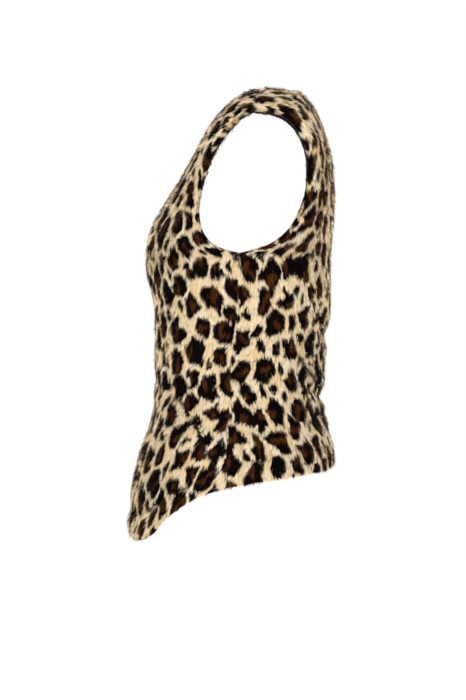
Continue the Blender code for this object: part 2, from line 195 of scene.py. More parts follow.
BACK_SECTIONS: tuple[Section, ...] = (
    Section((0, 130.5, -501), SIDE_SEAM[0], Way(0, 0, 0.54), Way(-90, 0, 0.41)),
    Section((0, 127.4, -476), SIDE_SEAM[1], Way(0, 0, 0.54), Way(-90, 0, 0.41)),
    Section((0, 121, -452), SIDE_SEAM[2], Way(0, 0, 0.54), Way(-90, 0, 0.41)),
    Section((0, 118.5, -430), SIDE_SEAM[3], Way(0, 0, 0.54), Way(-90, 0, 0.41)),
    Section((0, 115.5, -404), SIDE_SEAM[4], Way(0, 0, 0.54), Way(-90, 0, 0.41)),
    Section((0, 116, -368), SIDE_SEAM[5], Way(0, 0, 0.54), Way(-90, 0, 0.41)),
    Section((0, 119, -322), SIDE_SEAM[6], Way(0, 0, 0.55), Way(-90, 0, 0.41)),
    Section((0, 123.5, -286), SIDE_SEAM[7], Way(0, 0, 0.56), Way(-90, 0, 0.41)),
    Section((0, 124, -252), SIDE_SEAM[8], Way(0, 0, 0.57), Way(-90, 0, 0.41)),
    Section((0, 124, -218), SIDE_SEAM[9], Way(0, 0, 0.57), Way(-90, 0, 0.37)),
    Section((0, 126, -190), (170.5, 23, -205.5), Way(0, 0, 0.56), Way(-90, 0, 0.34)),
    Section((0, 128.5, -163), (168.5, 47, -195.5), Way(0, 0, 0.55), Way(-88, 10, 0.28)),
    Section((0, 129.6, -136), (166.5, 69, -177), Way(0, 0, 0.53), Way(-86, 20, 0.21)),
    Section((0, 128.6, -106), (165, 85, -148), Way(0, 0, 0.50), Way(-85, 20, 0.17)),
    Section((0, 124.4, -74), (164.5, 94, -116), Way(0, 0, 0.47), Way(-84, 6, 0.15)),
    Section((0, 114, -40), (165, 94.5, -83), Way(0, 0, 0.46), Way(-84, -18, 0.15)),
    Section((0, 100, -9), (168, 85.5, -51), Way(0, 0, 0.45), Way(-84, -39, 0.15)),
    Section((0, 79, 14), (171.5, 68.5, -28), Way(0, 0, 0.44), Way(-84, -57, 0.15)),
    Section((35, 71, 12.5), (174, 50, -18.5), Way(1, -2, 0.43), Way(-86, -70, 0.16)),
    Section((63, 54, 16.5), (175.5, 33, -14.5), Way(-1, -4, 0.42), Way(-88, -80, 0.16)),
    SHOULDER_SEAM,
)

FRONT_HEM: tuple[HemPoint, ...] = (
    HemPoint(-155, -580),
    HemPoint(-152, -594),
    HemPoint(-140, -601.4),
    HemPoint(-124, -593),
    HemPoint(-109, -576.5),
    HemPoint(-88, -559.5),
    HemPoint(-53, -540.5),
    HemPoint(-18, -530),
)
BACK_HEM: tuple[HemPoint, ...] = (
    HemPoint(-18, -530),
    HemPoint(31.5, -521.5),
    HemPoint(94.5, -511),
    HemPoint(119, -506),
    HemPoint(130.5, -496.5),
)

FRONT_CREASES: tuple[Crease, ...] = (
    Crease(((-113, -284), (-112, -322), (-104, -350), (-102, -412), (-104, -436)), 2.8, 11),
    Crease(((-83, -408), (-73, -429), (-62, -449), (-52, -472), (-41, -488)), 3.2, 10),
    Crease(((-122, -376), (-110, -396), (-100, -408)), 3, 12, 0.8, 6, fades_first=False),
    Crease(((-60, -392), (-40, -384), (-22, -388)), 2.5, 15, 1.1, 12),
    Crease(((-66, -235), (-86, -262), (-100, -296)), 2.2, 16, 1.0, 5),
)

BACK_CREASES: tuple[Crease, ...] = (
    Crease(
        ((122, -402), (110, -400), (105, -396), (96, -385), (83, -362), (78, -350)),
        8, 12, 0.8, 7, fades_first=False,
    ),
    Crease(((125, -424), (109, -432), (95, -445), (86, -452)), 3.5, 11, 1.1, -5, fades_first=False),
    Crease(((125, -320), (114, -315), (107, -304), (96, -295)), 4.5, 12, 0.7, 9, fades_first=False),
    Crease(((110, -362), (95, -381)), -3, 12, 0.9, 4),
    Crease(((60, -392), (36, -398), (14, -392)), 3, 15, 1.2, -14),
    Crease(((110, -60), (112, -120), (104, -175)), 2, 20, 1.0, 10),
)

POCKET_SLIT: Path = ((-83, -408), (-62, -449), (-47, -480), (-38, -496))
DART: Path = ((-115, -268), (-111, -300), (-109, -332), (-103, -352), (-101, -428))
NECK_STITCH: Path = ((-83.6, -114.7), (-104, -152), (-121, -190))

FRONT_PARTINGS: tuple[Parting, ...] = (
    Parting(POCKET_SLIT, reach=7.0, gap=1.6, shift=7.0),
    Parting(DART, reach=5.0, gap=0.9, shift=4.0),
    Parting(NECK_STITCH, reach=4.0, gap=0.8),
    Parting(((-104, -540), (-112, -551), (-121, -560), (-127, -570)), reach=6.0, gap=1.5, shift=3.0),
    Parting(((-100, -541), (-92, -536), (-78, -531), (-68, -529)), reach=5.0, gap=1.0, shift=2.0),
)
BACK_PARTINGS: tuple[Parting, ...] = (
    Parting(((77, -348), (88, -368), (107, -402), (113, -418)), reach=7.0, gap=1.9),
    Parting(((92, -447), (102, -437), (112, -427)), reach=6.0, gap=1.7),
    Parting(((106, -294), (111, -306), (113, -320)), reach=6.0, gap=1.5),
)


def unit(vectors: Array) -> Array:
    """Scales vectors to a length of one."""
    return vectors / np.maximum(np.linalg.norm(vectors, axis=-1, keepdims=True), TINY)


def dots(first: Array, second: Array) -> Array:
    """Dot products of two lists of vectors, as a column."""
    return np.sum(first * second, axis=1, keepdims=True)


def batches(count: int, size: int) -> list[slice]:
    """Splits a long list into slices, to save memory."""
    return [slice(start, start + size) for start in range(0, count, size)]


def placed(name: str, data: bpy.types.ID) -> bpy.types.Object:
    """Puts an object with this data at the scene's origin."""
    made = bpy.data.objects.new(name, data)
    bpy.context.scene.collection.objects.link(made)
    return made


def placed_mesh(name: str, shape: bmesh.types.BMesh) -> bpy.types.Object:
    """Turns a finished bmesh into an object."""
    mesh = bpy.data.meshes.new(name)
    shape.to_mesh(mesh)
    shape.free()
    return placed(name, mesh)


def smooth_between(knots: Array, values: Array, at: Array) -> Array:
    """Reads a smooth curve through the knots that never overshoots them.

    Args:
        knots: The knots' places, rising.
        values: One row of values for each knot.
        at: The places to read.

    Returns:
        One row of values for each place.
    """
    knots, values, at = (np.asarray(x, float) for x in (knots, values, at))
    run = np.diff(knots)[:, None]
    rise = np.diff(values, axis=0) / run
    slope = np.empty_like(values)
    slope[0], slope[-1] = rise[0], rise[-1]
    same_way = rise[:-1] * rise[1:] > 0
    near, far = 2 * run[1:] + run[:-1], run[1:] + 2 * run[:-1]
    with np.errstate(divide="ignore", invalid="ignore"):
        mean = (near + far) / (near / rise[:-1] + far / rise[1:])
    slope[1:-1] = np.where(same_way, mean, 0)  # flat at a turning point
    cell = np.clip(np.searchsorted(knots, at, "right") - 1, 0, len(knots) - 2)
    step = run[cell]
    t = ((at - knots[cell])[:, None]) / step
    return (
        (1 + 2 * t) * (1 - t) ** 2 * values[cell]
        + t * (1 - t) ** 2 * step * slope[cell]
        + t**2 * (3 - 2 * t) * values[cell + 1]
        + t**2 * (t - 1) * step * slope[cell + 1]
    )


def directions(ways: Array) -> Array:
    """Turns rows of headings and lifts, in degrees, into unit vectors."""
    heading, lift = np.radians(ways[:, 0]), np.radians(ways[:, 1])
    flat = np.cos(lift)
    return np.stack([np.cos(heading) * flat, np.sin(heading) * flat, np.sin(lift)], axis=1)


def arc_lengths(points: Array) -> Array:
    """Lengths from the first point to each point of a line."""
    steps = np.linalg.norm(np.diff(points, axis=0), axis=-1)
    return np.concatenate([np.zeros((1, *steps.shape[1:])), np.cumsum(steps, axis=0)])


def nearest_on_path(points: Array, path: Array) -> tuple[Array, Array]:
    """Finds the nearest place on a path.

    Args:
        points: The points to measure from.
        path: The path's points.

    Returns:
        The nearest place for each point, and its length along the path.
    """
    best = np.full(len(points), np.inf)
    place = np.zeros_like(points)
    along = np.zeros(len(points))
    for a, b, start in zip(path, path[1:], arc_lengths(path)):
        side = b - a
        t = np.clip((points - a) @ side / max(side @ side, TINY), 0, 1)
        here = a + t[:, None] * side
        away = np.linalg.norm(points - here, axis=1)
        closer = away < best
        best = np.where(closer, away, best)
        place = np.where(closer[:, None], here, place)
        along = np.where(closer, start + t * np.linalg.norm(side), along)
    return place, along


def on_surface(points: Array, path: Path) -> Array:
    """Finds the surface point that shows from the side at each (y, z) of a path."""
    flat = points.reshape(-1, 3)
    return np.array([flat[np.argmin(np.hypot(*(flat[:, 1:] - place).T))] for place in path])


@dataclass(frozen=True)
class Ripples:
    """Smooth seeded noise over the cloth: a sum of plane waves."""

    seed: int
    wavelength: float
    waves: int = 9
    paces: tuple[float, float] = (0.7, 1.6)  # the waves' lengths as shares of the wavelength

    def read(self, cloth: Array) -> Array:
        """Reads the noise, about -1 to 1, at cloth measures."""
        rng = np.random.default_rng(self.seed)
        turn = rng.uniform(0, math.tau, self.waves)
        rate = math.tau / (self.wavelength * rng.uniform(*self.paces, self.waves))
        phase = rng.uniform(0, math.tau, self.waves)
        total = np.zeros(len(cloth))
        for angle, pace, start in zip(turn, rate, phase):
            total += np.sin(pace * (cloth[:, 0] * math.cos(angle) + cloth[:, 1] * math.sin(angle)) + start)
        return total / math.sqrt(self.waves)


@dataclass
class ClothGrid:
    """A half panel as a grid, rows from the hem up and columns outwards, in millimetres on the left side."""

    points: Array
    normals: Array
    across: Array
    up: Array
    cloth: Array
    edge_distance: Array
    edge_outward: Array
    hem_distance: Array

    def mirrored(self) -> ClothGrid:
        """The same grid on the right half, with its own cloth measures."""
        flip = np.array([-1.0, 1.0, 1.0])
        names = ("points", "normals", "across", "up", "edge_outward")
        flipped = {name: getattr(self, name) * flip for name in names}
        return replace(self, **flipped, cloth=self.cloth * flip[:2])

    def cell_areas(self) -> Array:
        """Areas of the grid's cells."""
        p = self.points
        first = np.cross(p[1:, 1:] - p[:-1, :-1], p[1:, :-1] - p[:-1, 1:])
        return np.linalg.norm(first, axis=2) / 2

    def tree(self) -> BVHTree:
        """A search tree over the grid's cells."""
        rows, columns = self.points.shape[:2]
        corners = np.arange(rows * columns).reshape(rows, columns)
        faces = np.stack([corners[:-1, :-1], corners[:-1, 1:], corners[1:, 1:], corners[1:, :-1]], axis=2)
        return BVHTree.FromPolygons(self.points.reshape(-1, 3).tolist(), faces.reshape(-1, 4).tolist())


@dataclass(frozen=True)
class PanelCut:
    """A panel's cut and its worn shape."""

    sections: tuple[Section, ...]
    hem: tuple[HemPoint, ...]
    creases: tuple[Crease, ...]
    partings: tuple[Parting, ...]
    out: int  # 1 where across times up points out of the body
    joined_sections: int  # sections from the hem up whose inner edge is the middle of one cloth


FRONT_CUT = PanelCut(FRONT_SECTIONS, FRONT_HEM, FRONT_CREASES, FRONT_PARTINGS, out=1, joined_sections=0)
BACK_CUT = PanelCut(BACK_SECTIONS, BACK_HEM, BACK_CREASES, BACK_PARTINGS, out=-1, joined_sections=17)


@dataclass
class Tailor:
    """Works out the panels' worn surfaces from their cuts."""

    row_step: float = 6.0
    columns: int = 40
    seam_sections: int = 9  # sections from the hem to the underarm
    seam_gap: float = 0.3
    hem_fades: int = 5  # sections over which the hem's own level fades
    hem_fade_power: float = 1.5
    crease_taper: float = 0.3
    crease_end: float = 0.15
    crease_blend: float = 45.0
    roll_rise: float = 26.0
    roll_width: float = 11.0
    roll_depth: float = 3.0
    roll_ends: tuple[float, float] = (-30.0, -90.0)
    inward: int = 4  # grid steps from a trimmed edge to a point well inside it
    beside_edge: float = 20.0  # closer than this, an edge's distance is measured square to it
    batch: int = 2000  # points measured at once, to spare memory

    def rows(self, cut: PanelCut) -> tuple[Array, Array]:
        """The lengths along a panel of its sections and of all its rows."""
        lengths = []
        for number, (low, high) in enumerate(zip(cut.sections, cut.sections[1:])):
            outer = math.dist(low.outer, high.outer)
            inner = math.dist(low.inner, high.inner)
            lengths.append(outer if number < self.seam_sections else (outer + inner) / 2)
        knots = np.concatenate([[0.0], np.cumsum(lengths)])
        rows = [0.0]
        for low, high in zip(knots, knots[1:]):
            count = max(1, round((high - low) / self.row_step))
            rows.extend(np.linspace(low, high, count + 1)[1:])
        return knots, np.array(rows)

    def row_at(self, cut: PanelCut, section: int) -> int:
        """The grid row on which a section lies."""
        knots, rows = self.rows(cut)
        return int(np.argmin(abs(rows - knots[section])))

    def outer_edge(self, knots: Array, points: Array, rows: Array) -> Array:
        """The outer edge at each row: the side seam and the armhole's edge meet in a corner."""
        corner = knots[self.seam_sections]
        below, above = rows[rows <= corner + TINY], rows[rows > corner + TINY]
        stop = self.seam_sections + 1
        seam = smooth_between(knots[:stop], points[:stop], below)
        armhole = smooth_between(knots[stop - 1 :], points[stop - 1 :], above)
        return np.concatenate([seam, armhole])

    def base(self, cut: PanelCut) -> Array:
        """A panel's outer face before its creases, as a grid of points."""
        knots, rows = self.rows(cut)
        table = np.array([(*s.inner, *s.outer, *s.leaves, *s.arrives) for s in cut.sections], float)
        outer = self.outer_edge(knots, table[:, 3:6], rows)
        table = smooth_between(knots, table, rows)
        inner, leaves, arrives = table[:, 0:3], table[:, 6:9], table[:, 9:12]
        chord = np.linalg.norm(outer - inner, axis=1)[:, None]
        first = inner + directions(leaves) * leaves[:, 2:3] * chord
        second = outer - directions(arrives) * arrives[:, 2:3] * chord
        u = np.linspace(0, 1, self.columns + 1)[None, :, None]
        grid = (
            (1 - u) ** 3 * inner[:, None]
            + 3 * u * (1 - u) ** 2 * first[:, None]
            + 3 * u**2 * (1 - u) * second[:, None]
            + u**3 * outer[:, None]
        )
        hem = sorted(cut.hem)
        level = smooth_between([p.y for p in hem], [[p.z] for p in hem], grid[0, :, 1])[:, 0]
        fade = np.clip(1 - rows / knots[self.hem_fades], 0, 1) ** self.hem_fade_power
        grid[:, :, 2] += fade[:, None] * (level - grid[0, :, 2])
        return grid

    def normals(self, cut: PanelCut, grid: Array) -> Array:
        """Unit normals that point out of the body and lean neither way on the centre line."""
        normal = cut.out * unit(np.cross(np.gradient(grid, axis=1), np.gradient(grid, axis=0)))
        centre_rows = self.row_at(cut, cut.joined_sections or self.seam_sections) + 1
        normal[:centre_rows, 0, 0] = 0
        normal[:centre_rows, 0] = unit(normal[:centre_rows, 0])
        return normal

    def share_seams(self, front: Array, back: Array) -> None:
        """Gives front and back the same normals on the side seam and on the shoulder seam."""
        seam = slice(0, self.row_at(FRONT_CUT, self.seam_sections) + 1)
        for place in ((seam, -1), (-1, slice(None))):
            mean = unit(front[place] + back[place])
            front[place], back[place] = mean, mean

    def crease_depth(self, grid: Array, crease: Crease) -> Array:
        """How far each grid point sinks under one crease."""
        points, path = grid.reshape(-1, 3), on_surface(grid, crease.path)
        place, along = nearest_on_path(points, path)
        share = along / arc_lengths(path)[-1]
        taper = np.ones_like(share)
        if crease.fades_first:
            taper *= np.clip(share / self.crease_taper, self.crease_end, 1)
        if crease.fades_last:
            taper *= np.clip((1 - share) / self.crease_taper, self.crease_end, 1)
        reach = (np.linalg.norm(points - place, axis=1) / crease.width) ** 2
        depth = crease.depth * taper * np.exp(-reach) * (1 - 0.5 * reach)
        return depth.reshape(grid.shape[:2])

    def hem_roll(self, grid: Array) -> Array:
        """The depth of the trough above the front hem."""
        start, full = self.roll_ends
        share = np.clip((grid[:, :, 1] - start) / (full - start), 0, 1)
        rise = (arc_lengths(grid) - self.roll_rise) / self.roll_width
        return self.roll_depth * share * np.exp(-(rise**2))

    def pressed(self, cut: PanelCut, grid: Array, normals: Array, half: Half) -> Array:
        """The grid with its creases pressed in, for the left or the right half."""
        depth = self.hem_roll(grid) if cut is FRONT_CUT else np.zeros(grid.shape[:2])
        from_centre = np.clip(grid[:, :, 0] / self.crease_blend, 0, 1)
        for crease in cut.creases:
            here = self.crease_depth(grid, crease)
            if half is Half.RIGHT:
                lower = crease._replace(path=tuple((y, z - crease.drop) for y, z in crease.path))
                here += from_centre * (crease.right * self.crease_depth(grid, lower) - here)
            depth += here
        return grid - depth[:, :, None] * normals

    def cloth_measures(self, cut: PanelCut, grid: Array) -> Array:
        """Each grid point's measures on the flat cloth: outwards from the centre, up from the underarm."""
        outwards = grid[:, :1, 0] + arc_lengths(grid.transpose(1, 0, 2)).T
        upwards = arc_lengths(grid)
        upwards = upwards - upwards[self.row_at(cut, self.seam_sections)]
        return np.stack([outwards, upwards], axis=2)

    def trimmed_edges(self, cut: PanelCut, grid: Array, normals: Array) -> tuple[Array, Array]:
        """Points of the armhole's and the neck's edges, each with the direction out over the edge."""
        underarm = self.row_at(cut, self.seam_sections)
        joined = self.row_at(cut, cut.joined_sections) if cut.joined_sections else 0
        edges = []
        for start, column, step in ((underarm, -1, -self.inward), (joined, 0, self.inward)):
            line, normal = grid[start:, column], normals[start:, column]
            out = unit(np.cross(np.gradient(line, axis=0), normal))
            first = max(start - self.inward, 0)
            inner = grid[first : first + len(line), column + step]
            sign = np.sign(dots(out, line - inner))
            edges.append((line, out * sign))
        return np.concatenate([e[0] for e in edges]), np.concatenate([e[1] for e in edges])

    def half_panel(self, cut: PanelCut, base: Array, normals: Array, half: Half) -> ClothGrid:
        """One half of a panel with everything that the pile follows.

        Args:
            cut: The panel's cut.
            base: Its surface before the creases.
            normals: Its normals.
            half: Which half.

        Returns:
            The grid, on its own side of the body.
        """
        points = self.pressed(cut, base, normals, half)
        gap = self.seam_gap / 2
        if cut is FRONT_CUT:
            points[:, 0, 0] = np.maximum(points[:, 0, 0], gap)
        seam_rows = self.row_at(cut, self.seam_sections) + 1
        points[:seam_rows, -1, 1] -= cut.out * gap
        points[-1, :, 1] -= cut.out * gap
        edge_points, edge_out = self.trimmed_edges(cut, points, normals)
        flat = points.reshape(-1, 3)
        nearest = np.empty(len(flat), int)
        for some in batches(len(flat), self.batch):
            apart = flat[some, None] - edge_points[None]
            nearest[some] = np.argmin((apart**2).sum(axis=2), axis=1)
        outward = edge_out[nearest]
        sideways = np.sum((edge_points[nearest] - flat) * outward, axis=1)
        straight = np.linalg.norm(edge_points[nearest] - flat, axis=1)
        distance = np.where(straight < self.beside_edge, np.clip(sideways, 0, None), straight)
        shape = points.shape[:2]
        grid = ClothGrid(
            points=points,
            normals=unit(cut.out * np.cross(np.gradient(points, axis=1), np.gradient(points, axis=0))),
            across=unit(np.gradient(points, axis=1)),
            up=unit(np.gradient(points, axis=0)),
            cloth=self.cloth_measures(cut, base),
            edge_distance=distance.reshape(shape),
            edge_outward=outward.reshape(*shape, 3),
            hem_distance=arc_lengths(points),
        )
        return grid if half is Half.LEFT else grid.mirrored()


class SpotSize(Enum):
    """The spots' sizes, from the largest: half a width at least and at most, and the tries."""

    LARGE = (11.5, 14.0, 300)
    MEDIUM = (8.0, 11.0, 2800)
    SMALL = (4.4, 6.6, 1200)


@dataclass
class LeopardPrint:
    """A spotted print of rosettes, each a brown core in a broken dark ring, on a cream ground.

    The rosettes' centres are drawn at random and keep their distance. Nothing is read from a picture.
    """

    seed: int
    low: tuple[float, float]
    high: tuple[float, float]
    stretch: float = 1.36  # how much longer than wide a rosette is, along the nap
    slant: float = 0.0  # how far the rosettes lean outwards as they run down
    apart: float = 2.4
    cream_gap: tuple[float, float] = (0.7, 2.6)
    overgrowth: float = 1.34  # how far a rosette may grow past its own size
    ring: tuple[float, float] = (0.69, 0.98)  # the ring's width as a share of half a spot's
    solid_share: float = 0.08
    roundness: float = 6.0
    warp: float = 2.6
    warp_length: float = 30.0
    gap_swing: float = 0.6  # how much the cream between two rosettes widens and narrows
    gap_length: float = 24.0
    gap_least: float = 0.1
    paired_share: float = 0.3  # rosettes that run into a neighbour
    edge_noise: float = 0.7
    edge_length: float = 6.5
    edge_waves: int = 14
    softness: float = 0.5
    ring_softness: float = 1.7
    outline_swings: tuple[float, ...] = (0.17, 0.13, 0.10, 0.07)
    ring_swings: tuple[float, ...] = (0.4, 0.32, 0.22, 0.14)
    ring_most: float = 2.2  # how much thicker than its mean a ring may grow
    tries_area: float = 60000.0  # the area for which SpotSize states its tries
    batch: int = 16000  # places read at once, to spare memory
    centres: Array = field(init=False, repr=False)

    def __post_init__(self) -> None:
        """Places the rosettes, largest first, and draws their own gaps, rings and outlines."""
        rng = np.random.default_rng(self.seed)
        squash = np.array([1.0, self.stretch])
        low, high = np.array(self.low) / squash, np.array(self.high) / squash
        centres, radii = np.empty((0, 2)), np.empty(0)
        cloth_share = np.prod(high - low) / self.tries_area
        for size in SpotSize:
            least, most, tries = size.value
            for _ in range(int(tries * cloth_share)):
                place, radius = rng.uniform(low, high), rng.uniform(least, most)
                if np.all(np.hypot(*(centres - place).T) > radii + radius + self.apart):
                    centres, radii = np.vstack([centres, place]), np.append(radii, radius)
        count = len(centres)
        small = radii < SpotSize.MEDIUM.value[0]
        self.centres = centres
        self.weight = radii**2
        self.solid = small | (rng.random(count) < self.solid_share)
        self.gap = rng.uniform(*self.cream_gap, count)
        self.limit = radii * self.overgrowth
        self.thick = rng.uniform(*self.ring, count) * radii
        self.partner = np.arange(count)
        large = np.flatnonzero(~small)
        for one in large[rng.random(len(large)) < self.paired_share]:
            other = min(set(large) - {one}, key=lambda number: math.dist(centres[number], centres[one]))
            if self.partner[one] == one and self.partner[other] == other:
                self.partner[one], self.partner[other] = other, one
        self.outline_phase = rng.uniform(0, math.tau, (count, 4))
        self.ring_phase = rng.uniform(0, math.tau, (count, 4))

    def masks(self, cloth: Array) -> tuple[Array, Array]:
        """Reads the print.

        Args:
            cloth: Measures on the cloth, in millimetres.

        Returns:
            How much each place is in a spot, and how much it is in a spot's dark ring, from 0 to 1.
        """
        moved = cloth.copy()
        for axis in (0, 1):
            moved[:, axis] += self.warp * Ripples(self.seed + 1 + axis, self.warp_length).read(cloth)
        rough = self.edge_noise * Ripples(self.seed + 3, self.edge_length, self.edge_waves).read(cloth)
        wide = 1 + self.gap_swing * Ripples(self.seed + 4, self.gap_length).read(cloth)
        moved[:, 0] += self.slant * np.sign(cloth[:, 0]) * cloth[:, 1]
        moved[:, 1] /= self.stretch
        spacing = np.linalg.norm(self.centres[:, None] - self.centres[None], axis=2)
        np.fill_diagonal(spacing, 1.0)
        spot, ring = np.empty(len(cloth)), np.empty(len(cloth))
        for some in batches(len(cloth), self.batch):
            spot[some], ring[some] = self._masks_of(moved[some], rough[some], wide[some], spacing)
        return spot, ring

    def _masks_of(self, here: Array, rough: Array, wide: Array, spacing: Array) -> tuple[Array, Array]:
        """Reads the print at one batch of places, in the stretched measures."""
        apart = ((here[:, None] - self.centres[None]) ** 2).sum(axis=2) - self.weight
        own = apart.argmin(axis=1)
        rows = np.arange(len(here))
        border = (apart - apart[rows, own][:, None]) / (2 * spacing[own])
        border[rows, own] = np.inf
        border[rows, self.partner[own]] = np.inf
        from_centre = here - self.centres[own]
        radius = np.linalg.norm(from_centre, axis=1)
        angle = np.arctan2(from_centre[:, 1], from_centre[:, 0])
        outline, ring = np.zeros(len(here)), np.zeros(len(here))
        for number, (swing, gap) in enumerate(zip(self.outline_swings, self.ring_swings)):
            outline += swing * np.cos((number + 2) * angle + self.outline_phase[own, number])
            ring += gap * np.cos((number + 1) * angle + self.ring_phase[own, number])
        to_border = border.min(axis=1) - self.gap[own] * wide.clip(self.gap_least)
        to_limit = self.limit[own] * (1 + outline) - radius
        corner = np.clip(self.roundness - abs(to_border - to_limit), 0, None) ** 2 / (4 * self.roundness)
        inside = np.minimum(to_border, to_limit) - corner + rough
        spot = np.clip(inside / self.softness + 0.5, 0, 1)
        thick = np.where(self.solid[own], np.inf, self.thick[own] * np.clip(1 + ring, 0, self.ring_most))
        return spot, np.clip((thick - inside) / self.ring_softness + 0.5, 0, 1)


@dataclass
class Strands:
    """Fur strands as arrays, four points each: root, middle left, middle right and tip."""

    points: Array
    normals: Array
    bake: Array
    cloth: Array
    spot: Array
    ring: Array
    tone: Array
    gold: Array

    def picked(self, which: Array) -> Strands:
        """The strands with these numbers."""
        return Strands(*(getattr(self, name)[which] for name in self.__dataclass_fields__))


@dataclass
class Pile:
    """The pile of the fur cloth: how its strands stand, lie, gather in locks and part at sewn lines."""

    per_square_mm: float = 0.88
    ground_depth: float = GROUND_DEPTH
    root_depth: float = 0.3
    length: float = 9.0
    length_spread: float = 0.18
    length_limits: tuple[float, float] = (-0.45, 0.5)
    width: float = 0.66
    width_spread: float = 0.2
    width_limits: tuple[float, float] = (-0.5, 0.6)
    middle: float = 0.46  # how far along a strand it bends
    rise: float = 46.0  # degrees off the cloth, from root to middle
    rise_spread: float = 9.0
    settle: float = 9.0  # degrees off the cloth, from middle to tip
    settle_spread: float = 6.0
    sway: float = 9.0
    lock_size: tuple[float, float] = (5.0, 8.0)
    lock_draws: int = 128  # locks along each side of the table of draws
    lock_scatter: float = 0.7
    lock_pull: float = 0.3
    pull_shares: tuple[float, float] = (0.35, 1.0)  # of the pull, at the middle and at the tip
    lock_sway: float = 8.0
    lock_rise: float = 6.0
    lock_length: float = 0.12
    flow: float = 16.0
    flow_length: float = 120.0
    print_jitter: tuple[float, float] = (0.25, 0.6)
    print_follows: float = 0.72  # how far along a strand lies the place that gives its colour
    trimmed_reach: float = 16.0
    trimmed_shortening: float = 0.35
    trimmed_flattening: float = 0.25
    trimmed_overhang: float = 1.8
    hem_overhang: float = 2.6
    hem_unevenness: tuple[float, float] = (0.2, 1.3)
    shortest: float = 0.3
    slightest: float = 0.02  # the least lean over an edge that shortens a strand
    edge_crowding: float = 2.6  # how much denser the roots stand beside a trimmed edge
    turned_reach: float = 4.5
    turned_share: float = 0.62  # strands beside a trimmed edge that lie round it
    turned_depth: tuple[float, float] = (0.6, 8.2)
    turned_length: float = 6.0
    turned_spread: tuple[float, float] = (0.6, 1.2)
    turned_sway: float = 0.22
    turned_inset: float = 0.8
    turned_arch: tuple[float, float] = (0.8, 1.6)
    turned_tip: tuple[float, float] = (-0.4, 0.7)
    turned_facing: float = 0.35
    stray_share: float = 0.07
    stray_rise: tuple[float, float] = (14.0, 42.0)
    stray_overhang: float = 3.0
    line_step: float = 3.0
    line_fade: float = 12.0  # the stretch at each end over which a sewn line fades
    lean: float = 1.1
    # painted shadow: how much a sewn line's gap darkens the strands over it
    parting_shade: float = 3.4
    parting_shows: tuple[float, float] = (0.6, 0.92)  # places along a strand that the gap's painted shadow darkens
    shift_reach: float = 16.0
    shift_ends: float = 2.5  # times its reach, where the print's shift has faded
    gap_ends: float = 1.5  # times its half width, where a gap's darkness has faded
    roll: float = 24.0
    face_out: float = 0.62  # how far a strand's shading follows the cloth's
    tone_spreads: tuple[float, float] = (0.3, 0.16)  # from lock to lock, and from strand to strand
    gold_swings: tuple[float, float] = (0.35, 0.25)  # over the cloth, and from lock to lock
    gold_length: float = 26.0
    gold_squash: tuple[float, float] = (1.0, 0.45)  # makes the golden patches longer along the nap
    bake_spot: tuple[float, float] = (0.3, 0.8)  # half the size of a strand's place in the bake's map

    def sample(self, grid: ClothGrid, rng: np.random.Generator) -> Fields:
        """Draws strand roots over a half panel, denser beside trimmed edges, and reads the grid there.

        Args:
            grid: The half panel.
            rng: The seeded generator.

        Returns:
            The grid's fields at the roots.
        """
        beside = grid.edge_distance[:-1, :-1] + grid.edge_distance[1:, 1:] < 2 * self.turned_reach
        crowd = grid.cell_areas() * np.where(beside, self.edge_crowding, 1.0)
        count = int(crowd.sum() * self.per_square_mm)
        cells = rng.choice(crowd.size, count, p=(crowd / crowd.sum()).ravel())
        row, column = np.divmod(cells, crowd.shape[1])
        a, b = rng.random((2, count, 1))
        found = {}
        for name in grid.__dataclass_fields__:
            values = getattr(grid, name)
            values = values.reshape(*values.shape[:2], -1)
            low = values[row, column] * (1 - b) + values[row, column + 1] * b
            high = values[row + 1, column] * (1 - b) + values[row + 1, column + 1] * b
            found[name] = low * (1 - a) + high * a
        for name in ("normals", "across", "up", "edge_outward"):
            found[name] = unit(found[name])
        return found

    def locks(self, cloth: Array, rng: np.random.Generator) -> tuple[Array, Array]:
        """Finds the lock of fur to which each strand belongs.

        Args:
            cloth: The roots' cloth measures.
            rng: The seeded generator.

        Returns:
            The way from each root to its lock's middle on the cloth, and four draws for each lock.
        """
        cell = np.floor(cloth / self.lock_size).astype(int)
        table = rng.random((self.lock_draws, self.lock_draws, 6))  # two place it, four are its own
        drawn = table[cell[:, 0] % self.lock_draws, cell[:, 1] % self.lock_draws]
        middle = (cell + 0.5 + self.lock_scatter * (drawn[:, :2] - 0.5)) * self.lock_size
        return middle - cloth, drawn[:, 2:]

    def sewn_lines(self, cut: PanelCut, grid: ClothGrid) -> list[tuple[Parting, Array]]:
        """The panel's sewn lines and deep folds, each as points on the half panel's surface."""
        tree = grid.tree()
        lines = []
        for parting in cut.partings:
            seeds = on_surface(grid.points, parting.path)
            places = arc_lengths(seeds)
            steps = np.linspace(0, places[-1], int(places[-1] / self.line_step) + 2)
            line = smooth_between(places, seeds, steps)
            lines.append((parting, np.array([tree.find_nearest(Vector(p))[0] for p in line])))
        return lines

    def beside_line(self, points: Array, line: Array, reach: float) -> tuple[Array, Array, Array]:
        """Measures points against a sewn line.

        Args:
            points: The points.
            line: The line's points.
            reach: How far from the line to look.

        Returns:
            Which points are near, the way from the line to each of those, and how much its end fades there.
        """
        near = np.all((points > line.min(axis=0) - reach) & (points < line.max(axis=0) + reach), axis=1)
        place, along = nearest_on_path(points[near], line)
        ends = np.clip(np.minimum(along, arc_lengths(line)[-1] - along) / self.line_fade, 0, 1)
        return near, points[near] - place, ends

